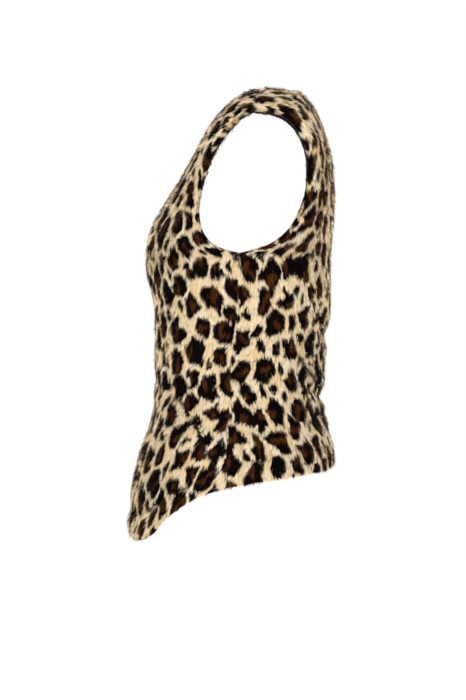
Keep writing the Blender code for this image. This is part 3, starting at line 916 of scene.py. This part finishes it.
    def part(self, roots: Fields, lines: list[tuple[Parting, Array]]) -> tuple[Array, Array]:
        """Parts the strands at the sewn lines.

        Args:
            roots: The grid's fields at the roots.
            lines: The sewn lines.

        Returns:
            Each strand's lean away from the lines, and how far the print is moved there.
        """
        points = roots["points"]
        lean, shift = np.zeros_like(points), np.zeros(len(points))
        for parting, line in lines:
            reach = max(parting.reach, self.shift_ends * self.shift_reach if parting.shift else 0)
            near, away, ends = self.beside_line(points, line, reach)
            distance = np.linalg.norm(away, axis=1)
            lean[near] += unit(away) * (np.sqrt(np.clip(1 - distance / parting.reach, 0, 1)) * ends)[:, None]
            side = np.sign(np.sum(away * roots["across"][near], axis=1))
            shift[near] += side * parting.shift * np.exp(-((distance / self.shift_reach) ** 2)) * ends
        return lean, shift

    def gaps(self, points: Array, normals: Array, lines: list[tuple[Parting, Array]]) -> Array:
        """How deep in the painted shadow of a sewn line's gap each point lies, from 0 to 1."""
        deep = np.zeros(len(points))
        for parting, line in lines:
            near, away, ends = self.beside_line(points, line, 3 * parting.gap + self.ground_depth)
            away -= dots(away, normals[near]) * normals[near]
            share = np.clip(self.gap_ends - np.linalg.norm(away, axis=1) / parting.gap, 0, 1) * ends
            deep[near] = np.maximum(deep[near], share)
        return deep

    def headings(self, roots: Fields, turn: Array, lean: Array) -> Array:
        """The way in which each strand lies along the cloth.

        Args:
            roots: The grid's fields at the roots.
            turn: How far each is turned from straight down, in degrees.
            lean: Its lean away from sewn lines.

        Returns:
            Unit vectors, turned back from the trimmed edges near them.
        """
        turn = np.radians(turn)[:, None]
        normal, nap, out = roots["normals"], -roots["up"], roots["edge_outward"]
        way = unit(nap * np.cos(turn) + np.cross(normal, nap) * np.sin(turn) + self.lean * lean)
        weight = np.clip(1 - roots["edge_distance"] / self.trimmed_reach, 0, 1)
        way = unit(way - weight * np.clip(dots(way, out), 0, None) * out)
        return unit(way - dots(way, normal) * normal)

    def lay(self, roots: Fields, way: Array, draws: Array, rng: np.random.Generator) -> tuple[Array, ...]:
        """Gives each strand its length and its two slopes.

        Args:
            roots: The grid's fields at the roots.
            way: The way in which each strand lies.
            draws: Its lock's draws.
            rng: The seeded generator.

        Returns:
            Columns of lengths, and of slopes to the middle and to the tip in radians.
        """
        count = len(way)
        distance = roots["edge_distance"][:, 0]
        weight = np.clip(1 - distance / self.trimmed_reach, 0, 1)
        length = self.length * (1 + rng.normal(0, self.length_spread, count).clip(*self.length_limits))
        length *= (1 + self.lock_length * (draws[:, 1] - 0.5)) * (1 - self.trimmed_shortening * weight)
        settle = self.settle + self.lock_rise * (2 * draws[:, 2] - 1)
        settle += rng.normal(0, self.settle_spread, count)
        stray = rng.random(count) < self.stray_share
        settle = np.radians(settle + stray * rng.uniform(*self.stray_rise, count))
        rise = np.radians(self.rise + rng.normal(0, self.rise_spread, count))
        rise *= 1 - self.trimmed_flattening * weight
        flat_share = self.middle * np.cos(rise) + (1 - self.middle) * np.cos(settle)
        over = dots(way, roots["edge_outward"])[:, 0]
        loose = stray * self.stray_overhang * rng.random(count)
        room = (distance + self.trimmed_overhang + loose) / np.maximum(length * flat_share * over, TINY)
        length *= np.where(over > self.slightest, np.clip(room, self.shortest, 1), 1)
        below = np.clip(-dots(way, roots["up"])[:, 0], self.slightest, None)
        overhang = self.hem_overhang * rng.uniform(*self.hem_unevenness, count) + loose
        room = roots["hem_distance"][:, 0] + overhang
        length *= np.clip(room / (length * flat_share * below), self.shortest, 1)
        return length[:, None], rise[:, None], settle[:, None]

    def turn(self, roots: Fields, turned: Array, rng: np.random.Generator) -> tuple[Array, ...]:
        """Lays strands along a trimmed edge, round the cloth's thickness.

        Args:
            roots: The grid's fields at the roots.
            turned: Which strands.
            rng: The seeded generator.

        Returns:
            Their roots, middles and tips.
        """
        size = (int(turned.sum()), 1)
        points, normal, out, distance, up = (
            roots[name][turned] for name in ("points", "normals", "edge_outward", "edge_distance", "up")
        )
        depth = rng.uniform(*self.turned_depth, size)
        long = self.turned_length * rng.uniform(*self.turned_spread, size)
        along = unit(np.cross(normal, out))
        along *= np.where(dots(along, -up) < 0, -1.0, 1.0)
        way = long * unit(along + rng.normal(0, self.turned_sway, size) * normal)
        root = points + out * distance - normal * depth - self.turned_inset * out
        middle = root + self.middle * way + out * rng.uniform(*self.turned_arch, size)
        return root, middle, middle + (1 - self.middle) * way + out * rng.uniform(*self.turned_tip, size)

    def grow(self, grid: ClothGrid, cut: PanelCut, half: Half, printed: LeopardPrint, seed: int) -> Strands:
        """Grows the pile of one half panel.

        Args:
            grid: The half panel.
            cut: The panel's cut.
            half: Which half.
            printed: The print that colours it.
            seed: The seed of its draws.

        Returns:
            The strands.
        """
        rng = np.random.default_rng(seed)
        roots = self.sample(grid, rng)
        cloth, normal, out = roots["cloth"], roots["normals"], roots["edge_outward"]
        count = len(cloth)
        to_lock, draws = self.locks(cloth, rng)
        lines = self.sewn_lines(cut, grid)
        lean, shift = self.part(roots, lines)
        turn = self.flow * Ripples(seed + 11, self.flow_length).read(cloth)
        turn += self.lock_sway * (2 * draws[:, 0] - 1) + rng.normal(0, self.sway, count)
        way = self.headings(roots, turn, lean)
        long, rise, settle = self.lay(roots, way, draws, rng)

        # The cloth's measures grow towards +X, and across points outwards on both halves.
        pull = self.lock_pull * to_lock
        pull = half.value * pull[:, :1] * roots["across"] + pull[:, 1:] * roots["up"]
        bend, end = self.pull_shares
        root = roots["points"] - normal * (self.ground_depth + self.root_depth)
        middle = root + self.middle * long * (way * np.cos(rise) + normal * np.sin(rise)) + bend * pull
        tip = (1 - self.middle) * long * (way * np.cos(settle) + normal * np.sin(settle))
        tip += middle + (end - bend) * pull
        turned = (roots["edge_distance"][:, 0] < self.turned_reach) & (rng.random(count) < self.turned_share)
        outside = normal.copy()
        outside[turned] = unit(out[turned] + self.turned_facing * normal[turned])
        for part, moved in zip((root, middle, tip), self.turn(roots, turned, rng)):
            part[turned] = moved

        line = unit(tip - root)
        roll = np.radians(rng.normal(0, self.roll, count))[:, None]
        flat = unit(np.cross(line, outside))
        flat = flat * np.cos(roll) + np.cross(flat, line) * np.sin(roll)
        swell = rng.normal(0, self.width_spread, (count, 1)).clip(*self.width_limits)
        wide = 0.5 * self.width * flat * (1 + swell)
        shade = unit(self.face_out * outside + (1 - self.face_out) * unit(np.cross(flat, line)))

        seen = cloth + rng.normal(0, 1, (count, 2)) * self.print_jitter
        moved = self.print_follows * (tip - root)
        seen[:, 0] += half.value * (shift + np.sum(moved * roots["across"], axis=1))
        seen[:, 1] += np.sum(moved * roots["up"], axis=1)
        spot, ring = printed.masks(seen)
        by_lock, by_strand = self.tone_spreads
        tone = np.clip(0.5 + by_lock * (draws[:, 3] - 0.5) + rng.normal(0, by_strand, count), 0, 1)
        # Painted shadow: strands that pass over a sewn line's gap are darkened.
        for share in self.parting_shows:
            tone -= self.parting_shade * self.gaps(root + share * (tip - root), normal, lines)
        swing, by_lock = self.gold_swings
        gold = 0.5 + swing * Ripples(seed + 5, self.gold_length).read(cloth * self.gold_squash)
        gold += by_lock * (draws[:, 2] - 0.5)
        return Strands(
            points=np.stack([root, middle - wide, middle + wide, tip], axis=1),
            normals=np.repeat(shade[:, None], 4, axis=1),
            bake=cloth[:, None] + np.array([(0, 0), (-1, -1), (1, -1), (0, -2)]) * self.bake_spot,
            cloth=np.repeat(cloth[:, None], 4, axis=1),
            spot=spot,
            ring=ring,
            tone=tone,
            gold=np.clip(gold, 0, 1),
        )

    def mesh(self, name: str, strands: Strands) -> bpy.types.Object:
        """Makes one piece of pile from its strands, two faces each."""
        count = len(strands.points)
        mesh = bpy.data.meshes.new(name)
        mesh.vertices.add(4 * count)
        mesh.vertices.foreach_set("co", (strands.points * MM).astype(np.float32).ravel())
        corners = np.arange(count)[:, None] * 4 + np.array([0, 2, 1, 2, 3, 1])
        mesh.loops.add(6 * count)
        mesh.loops.foreach_set("vertex_index", corners.astype(np.int32).ravel())
        mesh.polygons.add(2 * count)
        mesh.polygons.foreach_set("loop_start", np.arange(0, 6 * count, 3, dtype=np.int32))
        mesh.update(calc_edges=True)
        mesh.shade_smooth()
        fields = {layer: np.repeat(getattr(strands, layer), 4) for layer in PRINT_FIELDS}
        fields["along"] = np.tile([0.0, self.middle, self.middle, 1.0], count)
        for layer, values in fields.items():
            mesh.attributes.new(layer, "FLOAT", "POINT").data.foreach_set("value", values.astype(np.float32))
        low, high = strands.bake.min(axis=(0, 1)), strands.bake.max(axis=(0, 1))
        for layer, values in (("Cloth", strands.cloth * MM), ("OFBake", (strands.bake - low) / (high - low))):
            flat = values.reshape(-1, 2)[corners.ravel()]
            mesh.uv_layers.new(name=layer).uv.foreach_set("vector", flat.astype(np.float32).ravel())
        mesh.normals_split_custom_set_from_vertices(strands.normals.reshape(-1, 3).tolist())
        return placed(name, mesh)


@dataclass
class Shell:
    """The fur cloth itself, under the pile: a thin closed wall with the print outside."""

    thickness: float = 2.0
    depth: float = GROUND_DEPTH
    weld: float = 1e-6
    bake_margin: float = 0.01

    def add_half(self, shape: bmesh.types.BMesh, grid: ClothGrid, printed: LeopardPrint) -> None:
        """Adds the outer face of one half panel to the mesh, with the print on its vertices."""
        rows, columns = grid.points.shape[:2]
        made = bmesh.ops.create_grid(shape, x_segments=columns - 1, y_segments=rows - 1, size=1.0)
        masks = [m.reshape(rows, columns) for m in printed.masks(grid.cloth.reshape(-1, 2))]
        ground = (grid.points - grid.normals * self.depth) * MM
        fields = dict(zip(SHELL_FIELDS, (*masks, grid.cloth[:, :, 0], grid.cloth[:, :, 1])))
        layers = [(shape.verts.layers.float[name], values) for name, values in fields.items()]
        for vertex in made["verts"]:
            column = round((vertex.co.x + 1) / 2 * (columns - 1))
            row = round((vertex.co.y + 1) / 2 * (rows - 1))
            vertex.co = ground[row, column]
            for layer, values in layers:
                vertex[layer] = values[row, column]

    def build(self, name: str, halves: list[ClothGrid], printed: LeopardPrint) -> bpy.types.Object:
        """Builds a panel's wall.

        Args:
            name: The piece's name.
            halves: One grid, or two that meet on the centre line.
            printed: The print.

        Returns:
            The wall, whose outside and rim have material 0 and whose inside has material 1.
        """
        shape = bmesh.new()
        for layer in SHELL_FIELDS:
            shape.verts.layers.float.new(layer)
        for grid in halves:
            self.add_half(shape, grid, printed)
        bmesh.ops.remove_doubles(shape, verts=shape.verts, dist=self.weld)
        bmesh.ops.recalc_face_normals(shape, faces=shape.faces)
        corner, outward = Vector(halves[0].points[0, 0] * MM), Vector(halves[0].normals[0, 0])
        first = min(shape.faces, key=lambda face: (face.calc_center_median() - corner).length)
        if first.normal.dot(outward) < 0:
            bmesh.ops.reverse_faces(shape, faces=shape.faces)
        outside = set(shape.verts)
        bmesh.ops.solidify(shape, geom=shape.faces[:], thickness=self.thickness * MM)
        for face in shape.faces:
            face.smooth = True
            face.material_index = int(outside.isdisjoint(face.verts))
        self.lay_maps(shape)
        return placed_mesh(name, shape)

    def lay_maps(self, shape: bmesh.types.BMesh) -> None:
        """Lays the cloth map in metres, and the bake's map with the outside in its left half."""
        reads = [shape.verts.layers.float[name] for name in SHELL_FIELDS[2:]]
        cloth_map = shape.loops.layers.uv.new("Cloth")
        bake_map = shape.loops.layers.uv.new("OFBake")
        measures = np.array([[vertex[layer] for layer in reads] for vertex in shape.verts])
        low, span = measures.min(axis=0), np.ptp(measures, axis=0)
        size = np.array([0.5, 1.0]) - 2 * self.bake_margin
        for face in shape.faces:
            corner = np.array([self.bake_margin + 0.5 * face.material_index, self.bake_margin])
            for loop in face.loops:
                place = np.array([loop.vert[layer] for layer in reads])
                loop[cloth_map].uv = place * MM
                loop[bake_map].uv = corner + (place - low) / span * size


class Workbench:
    """A material or a node group under construction."""

    def __init__(self, tree: bpy.types.NodeTree) -> None:
        """Takes the tree to build in."""
        self.tree = tree

    def fill(self, node: bpy.types.Node, inputs: dict) -> bpy.types.Node:
        """Links sockets to a node's inputs, or sets plain values there, by name or number."""
        for name, value in inputs.items():
            if isinstance(value, bpy.types.NodeSocket):
                self.tree.links.new(value, node.inputs[name])
            else:
                node.inputs[name].default_value = value
        return node

    def node(self, kind: str, inputs: dict | None = None, **settings: object) -> bpy.types.Node:
        """Adds a node.

        Args:
            kind: The node's type.
            inputs: Values or sockets for its inputs, by name or number.
            settings: Its own settings.

        Returns:
            The node.
        """
        made = self.tree.nodes.new(kind)
        for name, value in settings.items():
            setattr(made, name, value)
        return self.fill(made, inputs or {})

    def maths(self, operation: str, *values: object) -> bpy.types.NodeSocket:
        """Adds a Math node and gives its result."""
        return self.node("ShaderNodeMath", dict(enumerate(values)), operation=operation).outputs[0]

    def blend(self, factor: object, first: object, second: object) -> bpy.types.NodeSocket:
        """Adds a colour Mix node and gives its result."""
        return self.node("ShaderNodeMix", {0: factor, 6: first, 7: second}, data_type="RGBA").outputs[2]

    def stretch(self, value: object, low: float, high: float) -> bpy.types.NodeSocket:
        """Maps 0 to 1 onto low to high."""
        inputs = {"Value": value, "To Min": low, "To Max": high}
        return self.node("ShaderNodeMapRange", inputs).outputs["Result"]

    def shaded(self, colour: object, shade: object) -> bpy.types.NodeSocket:
        """Multiplies a colour by a shade."""
        return self.node("ShaderNodeVectorMath", {0: colour, "Scale": shade}, operation="SCALE").outputs[0]

    def noise(self, place: object, scale: object, detail: float) -> bpy.types.NodeSocket:
        """Adds a noise and gives its strength."""
        inputs = {"Vector": place, "Scale": scale, "Detail": detail}
        return self.node("ShaderNodeTexNoise", inputs).outputs["Fac"]

    def bump(self, height: object, distance: float) -> bpy.types.NodeSocket:
        """Adds a relief and gives its normal."""
        return self.node("ShaderNodeBump", {"Height": height, "Distance": distance}).outputs["Normal"]

    def read(self, name: str) -> bpy.types.NodeSocket:
        """Reads a number that the mesh keeps under a name."""
        return self.node("ShaderNodeAttribute", attribute_name=name).outputs["Fac"]

    def map(self, name: str) -> bpy.types.NodeSocket:
        """Reads one of the mesh's UV maps."""
        return self.node("ShaderNodeUVMap", uv_map=name).outputs["UV"]


def node_group(name: str, inputs: Sockets, outputs: Sockets) -> tuple[Workbench, dict, bpy.types.Node]:
    """Starts a shader node group.

    Args:
        name: The group's name.
        inputs: Its inputs' names and socket types.
        outputs: Its outputs' names and socket types.

    Returns:
        Its workbench, its inputs as sockets inside the group, and its output node.
    """
    tree = bpy.data.node_groups.new(name, "ShaderNodeTree")
    for direction, sockets in (("INPUT", inputs), ("OUTPUT", outputs)):
        for socket, kind in sockets.items():
            tree.interface.new_socket(socket, in_out=direction, socket_type=kind)
    source = tree.nodes.new("NodeGroupInput").outputs
    return Workbench(tree), {n: source[n] for n in inputs}, tree.nodes.new("NodeGroupOutput")


@dataclass(frozen=True)
class PileColours:
    """The printed pile's colours, as linear values."""

    cream: Colour = (0.98, 0.84, 0.60, 1.0)
    gold: Colour = (0.95, 0.70, 0.38, 1.0)
    brown: Colour = (0.125, 0.036, 0.005, 1.0)
    brown_deep: Colour = (0.040, 0.011, 0.003, 1.0)
    black: Colour = (0.0010, 0.0008, 0.0008, 1.0)
    black_soft: Colour = (0.0060, 0.0030, 0.0022, 1.0)
    # painted shade: strands are darker towards their roots, where the pile shades them
    root_shade: float = 0.55
    tone_low: float = 0.82
    tone_high: float = 1.12
    tone_least: float = 0.08  # the least brightness, in the painted shadow of a sewn line's gap

    def group(self) -> bpy.types.NodeTree:
        """Builds the node group that mixes the print's colours along the strands, with painted shade towards
        the roots and in sewn lines' gaps.
        """
        inputs = {"Spot": FLOAT, "Ring": FLOAT, "Tone": FLOAT, "Gold": FLOAT, "Along": FLOAT}
        bench, given, result = node_group("printed_pile", inputs, {"Color": COLOUR})
        cream = bench.blend(given["Gold"], self.cream, self.gold)
        brown = bench.blend(given["Tone"], self.brown_deep, self.brown)
        black = bench.blend(given["Tone"], self.black, self.black_soft)
        colour = bench.blend(given["Spot"], cream, bench.blend(given["Ring"], brown, black))
        # Painted shade: darker towards the roots, and darker still where a sewn line's gap lowered a strand's
        # brightness.
        shade = bench.stretch(given["Along"], self.root_shade, 1.0)
        tone = bench.maths("MULTIPLY_ADD", given["Tone"], self.tone_high - self.tone_low, self.tone_low)
        shade = bench.maths("MULTIPLY", shade, bench.maths("MAXIMUM", tone, self.tone_least))
        bench.fill(result, {"Color": bench.shaded(colour, shade)})
        return bench.tree


@dataclass(frozen=True)
class ClothWeave:
    """A fine woven relief, with painted shade in its hollows, that more than one cloth uses."""

    wobble: float = 0.6
    fluff: float = 0.7
    # painted shade: the colour's scale at the lowest and at the highest relief
    shades: tuple[float, float] = (0.55, 1.15)

    def group(self) -> bpy.types.NodeTree:
        """Builds the node group of crossing threads, with its relief and a painted shade that is darker where
        the relief is low.
        """
        inputs = {"Vector": VECTOR, "Threads": FLOAT, "Fuzz": FLOAT}
        bench, given, result = node_group("cloth_weave", inputs, {"Height": FLOAT, "Shade": FLOAT})
        waves = []
        for direction in ("X", "Y"):
            settings = {"wave_type": "BANDS", "bands_direction": direction, "wave_profile": "SIN"}
            values = {"Vector": given["Vector"], "Scale": given["Threads"], "Distortion": self.wobble}
            values["Detail"] = 1.0
            waves.append(bench.node("ShaderNodeTexWave", values, **settings).outputs["Fac"])
        fluff = bench.maths("MULTIPLY", bench.noise(given["Vector"], given["Fuzz"], 4.0), self.fluff)
        height = bench.maths("ADD", bench.maths("MULTIPLY", *waves), fluff)
        bench.fill(result, {"Height": height, "Shade": bench.stretch(height, *self.shades)})
        return bench.tree


def shader_of(name: str) -> tuple[bpy.types.Material, Workbench, bpy.types.Node]:
    """Makes a material and gives it with its workbench and its shader."""
    made = bpy.data.materials.new(name)
    made.use_nodes = True
    return made, Workbench(made.node_tree), made.node_tree.nodes["Principled BSDF"]


@dataclass(frozen=True)
class Finish:
    """What every finish has: a name, a roughness, a highlight and a sheen, set on the shader itself."""

    name: str
    roughness: float
    specular: float
    sheen: float = 0.0

    def start(self) -> tuple[bpy.types.Material, Workbench, bpy.types.Node]:
        """Makes the material and gives its workbench and its shader."""
        made, bench, shader = shader_of(self.name)
        shine = {"Specular IOR Level": self.specular, "Sheen Weight": self.sheen}
        bench.fill(shader, {"Roughness": self.roughness, "Metallic": 0.0, **shine})
        return made, bench, shader


@dataclass(frozen=True)
class PileFinish(Finish):
    """The strands: the print from root to tip, with a soft shine."""

    name: str = "spotted_pile"
    roughness: float = 0.62
    specular: float = 0.025
    streaks: float = 210.0
    streak_shades: tuple[float, float] = (0.86, 1.12)

    def material(self, colours: bpy.types.NodeTree) -> bpy.types.Material:
        """Makes the strands' material from the printed pile group."""
        made, bench, shader = self.start()
        fields = {name.title(): bench.read(name) for name in (*PRINT_FIELDS, "along")}
        group = bench.node("ShaderNodeGroup", fields, node_tree=colours)
        streaks = bench.stretch(bench.noise(bench.map("Cloth"), self.streaks, 2.0), *self.streak_shades)
        bench.fill(shader, {"Base Color": bench.shaded(group.outputs["Color"], streaks)})
        return made


@dataclass(frozen=True)
class GroundFinish(Finish):
    """The printed face of the fur cloth that shows between the strands' roots."""

    name: str = "pile_ground"
    roughness: float = 0.9
    specular: float = 0.1
    tufts: float = 900.0
    relief: float = 0.0006
    along: tuple[float, float] = (0.0, 0.35)  # the part of a strand whose colours and painted root shade it takes

    def material(self, colours: bpy.types.NodeTree) -> bpy.types.Material:
        """Makes the ground's material from the printed pile group, darkened with the roots' painted shade."""
        made, bench, shader = self.start()
        tufts = bench.noise(bench.map("Cloth"), self.tufts, 3.0)
        fields = {"Spot": bench.read("spot"), "Ring": bench.read("ring"), "Tone": tufts}
        # Painted shade: the ground between the roots takes the darkness of the roots.
        fields["Along"] = bench.stretch(tufts, *self.along)
        group = bench.node("ShaderNodeGroup", fields, node_tree=colours)
        bench.fill(shader, {"Base Color": group.outputs["Color"], "Normal": bench.bump(tufts, self.relief)})
        return made


@dataclass(frozen=True)
class ClothFinish(Finish):
    """A dark woven cloth: the back of the fur cloth, or an armhole's facing."""

    name: str = "dark_cloth"
    roughness: float = 0.8
    specular: float = 0.25
    sheen: float = 0.15
    colour: Colour = (0.035, 0.022, 0.018, 1.0)
    worn: Colour = (0.070, 0.046, 0.036, 1.0)
    patches: float = 22.0
    threads: float = 260.0
    fuzz: float = 900.0
    relief: float = 0.0004
    uv_map: str = ""

    def material(self, weave: bpy.types.NodeTree) -> bpy.types.Material:
        """Makes the cloth's material from the weave group."""
        made, bench, shader = self.start()
        place = bench.map(self.uv_map) if self.uv_map else bench.node("ShaderNodeTexCoord").outputs["Object"]
        values = {"Vector": place, "Threads": self.threads, "Fuzz": self.fuzz}
        group = bench.node("ShaderNodeGroup", values, node_tree=weave).outputs
        colour = bench.blend(bench.noise(place, self.patches, 4.0), self.colour, self.worn)
        # Painted shade: the weave darkens the colour where its threads lie low.
        shaded = bench.shaded(colour, group["Shade"])
        bench.fill(shader, {"Base Color": shaded, "Normal": bench.bump(group["Height"], self.relief)})
        return made


@dataclass
class Finishes:
    """Every material of the vest, made once."""

    pile: bpy.types.Material
    ground: bpy.types.Material
    lining: bpy.types.Material
    facing: bpy.types.Material

    @classmethod
    def make(cls) -> Finishes:
        """Makes the groups and the materials."""
        colours, weave = PileColours().group(), ClothWeave().group()
        return cls(
            PileFinish().material(colours),
            GroundFinish().material(colours),
            ClothFinish(name="lining_side", uv_map="Cloth").material(weave),
            ClothFinish(
                name="facing_cloth",
                colour=(0.020, 0.014, 0.012, 1.0),
                worn=(0.045, 0.030, 0.024, 1.0),
                roughness=0.7,
            ).material(weave),
        )


@dataclass
class Panel:
    """One panel of the vest: its wall and its pile, in place of a CAD node."""

    node: str
    cut: PanelCut
    halves: tuple[Half, ...]
    seed: int
    flat: tuple[float, float]  # the cut's width and length in metres
    slant: float = 0.12
    margin: float = 40.0  # print drawn past the cloth's edges
    pile: Pile = field(default_factory=Pile)
    shell: Shell = field(default_factory=Shell)

    def printed(self, grids: list[ClothGrid]) -> LeopardPrint:
        """The print on this panel's cloth."""
        cloth = np.concatenate([grid.cloth.reshape(-1, 2) for grid in grids])
        low, high = cloth.min(axis=0) - self.margin, cloth.max(axis=0) + self.margin
        return LeopardPrint(self.seed, tuple(low), tuple(high), slant=self.slant)

    def build(self, tailor: Tailor, base: Array, normals: Array, finishes: Finishes) -> None:
        """Builds the panel's pieces, dresses them and hands them to the frame.

        Args:
            tailor: Works out the worn surface.
            base: The panel's surface before its creases.
            normals: Its normals.
            finishes: The vest's materials.
        """
        grids = [tailor.half_panel(self.cut, base, normals, half) for half in self.halves]
        printed = self.printed(grids)
        pieces = []
        for number, (grid, half) in enumerate(zip(grids, self.halves)):
            strands = self.pile.grow(grid, self.cut, half, printed, self.seed + 100 * (number + 1))
            order = np.argsort(strands.cloth[:, 0, 1], kind="stable")
            for band in Band:
                first, last = (int(share * len(order)) for share in band.value)
                name = f"{self.node}_pile_{half.name.lower()}_{band.name.lower()}"
                piece = self.pile.mesh(name, strands.picked(order[first:last]))
                piece.data.materials.append(finishes.pile)
                pieces.append(piece)
        wall = self.shell.build(f"{self.node}_cloth", grids, printed)
        wall.data.materials.append(finishes.ground)
        wall.data.materials.append(finishes.lining)
        for piece in (wall, *pieces):
            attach(piece, "root")
            LOG.info("%s: %d faces", piece.name, len(piece.data.polygons))
        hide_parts(self.node)
        area = sum(grid.cell_areas().sum() for grid in grids) * MM**2


@dataclass
class Vest:
    """The whole vest."""

    tailor: Tailor = field(default_factory=Tailor)
    panels: tuple[Panel, ...] = (
        Panel("front_left", FRONT_CUT, (Half.LEFT,), seed=41, flat=(0.28, 0.70)),
        Panel("front_right", FRONT_CUT, (Half.RIGHT,), seed=67, flat=(0.28, 0.70)),
        Panel("back", BACK_CUT, (Half.LEFT, Half.RIGHT), seed=93, flat=(0.53, 0.66), slant=0.0),
    )
    facings: tuple[str, ...] = ("armhole_facing_left", "armhole_facing_right")

    def build(self, frame: dict) -> None:
        """Builds every piece around the frame."""
        finishes = Finishes.make()
        bases = {id(cut): self.tailor.base(cut) for cut in (FRONT_CUT, BACK_CUT)}
        normals = {id(cut): self.tailor.normals(cut, bases[id(cut)]) for cut in (FRONT_CUT, BACK_CUT)}
        self.tailor.share_seams(normals[id(FRONT_CUT)], normals[id(BACK_CUT)])
        for panel in self.panels:
            panel.build(self.tailor, bases[id(panel.cut)], normals[id(panel.cut)], finishes)
        for name in self.facings:
            node = frame["nodes"][name]
            node.data.materials.clear()
            node.data.materials.append(finishes.facing)
            LOG.info("%s: dressed", name)


@dataclass
class Studio:
    """A pale floor, a white room, soft lights and the camera at the wearer's left side."""

    pixel: float = 1.37  # millimetres for each pixel of the photograph
    frame_pixels: tuple[int, int] = (466, 700)
    zero_pixel: tuple[float, float] = (240.0, 100.0)  # where the origin shows
    camera_distance: float = 26.0
    sensor: float = 36.0
    floor_height: float = -1.30
    floor_size: float = 60.0
    floor_corners: int = 96
    floor_grey: Colour = (0.86, 0.86, 0.86, 1.0)
    floor_glow: float = 0.25
    white: Colour = (1.0, 1.0, 1.0, 1.0)
    room_light: float = 1.0
    aim: Point = (0, 0, -0.3)  # the vest's middle
    lights: tuple[tuple[str, Point, float, float], ...] = (
        ("key", (3.2, -1.6, 1.6), 3.0, 95.0),
        ("fill", (2.6, 2.4, 0.4), 2.6, 34.0),
        ("back_fill", (-3.2, 1.0, 1.6), 3.0, 75.0),
    )

    def build(self) -> None:
        """Builds the studio."""
        self.room()
        self.floor()
        self.camera()
        for light in self.lights:
            self.soft_light(*light)

    def room(self) -> None:
        """Gives the world an even white light."""
        world = bpy.data.worlds.new("white_room")
        bpy.context.scene.world = world
        world.use_nodes = True
        background = world.node_tree.nodes["Background"]
        Workbench(world.node_tree).fill(background, {"Color": self.white, "Strength": self.room_light})
        bpy.context.scene.view_settings.view_transform = "Standard"

    def floor(self) -> None:
        """Lays the pale floor."""
        shape = bmesh.new()
        bmesh.ops.create_circle(shape, cap_ends=True, segments=self.floor_corners, radius=self.floor_size)
        bmesh.ops.translate(shape, verts=shape.verts, vec=(0, 0, self.floor_height))
        floor = placed_mesh("studio_floor", shape)
        paint, bench, shader = shader_of("pale_floor")
        glow = {"Emission Color": self.white, "Emission Strength": self.floor_glow}
        bench.fill(shader, {"Base Color": self.floor_grey, "Roughness": 1.0, **glow})
        floor.data.materials.append(paint)

    def camera(self) -> None:
        """Sets a long lens level with the photograph's middle."""
        width, height = self.frame_pixels
        across = (width / 2 - self.zero_pixel[0]) * self.pixel * MM
        up = (self.zero_pixel[1] - height / 2) * self.pixel * MM
        data = bpy.data.cameras.new("camera")
        data.sensor_width = self.sensor
        data.lens = self.sensor * self.camera_distance / (height * self.pixel * MM)
        camera = placed("camera", data)
        camera.location = (self.camera_distance, across, up)
        camera.rotation_euler = (math.pi / 2, 0, math.pi / 2)
        bpy.context.scene.camera = camera

    def soft_light(self, name: str, place: Point, size: float, power: float) -> None:
        """Adds a large soft light that faces the vest's middle."""
        data = bpy.data.lights.new(name, "AREA")
        data.size, data.energy = size, power
        light = placed(name, data)
        light.location = place
        aim = Vector(self.aim) - Vector(place)
        light.rotation_euler = aim.to_track_quat("-Z", "Y").to_euler()
        light.visible_camera = False


def main() -> None:
    """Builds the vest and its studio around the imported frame."""
    logging.basicConfig(level=logging.INFO, format="%(name)s: %(message)s")
    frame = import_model()
    Vest().build(frame)
    Studio().build()


if __name__ == "__main__":
    main()
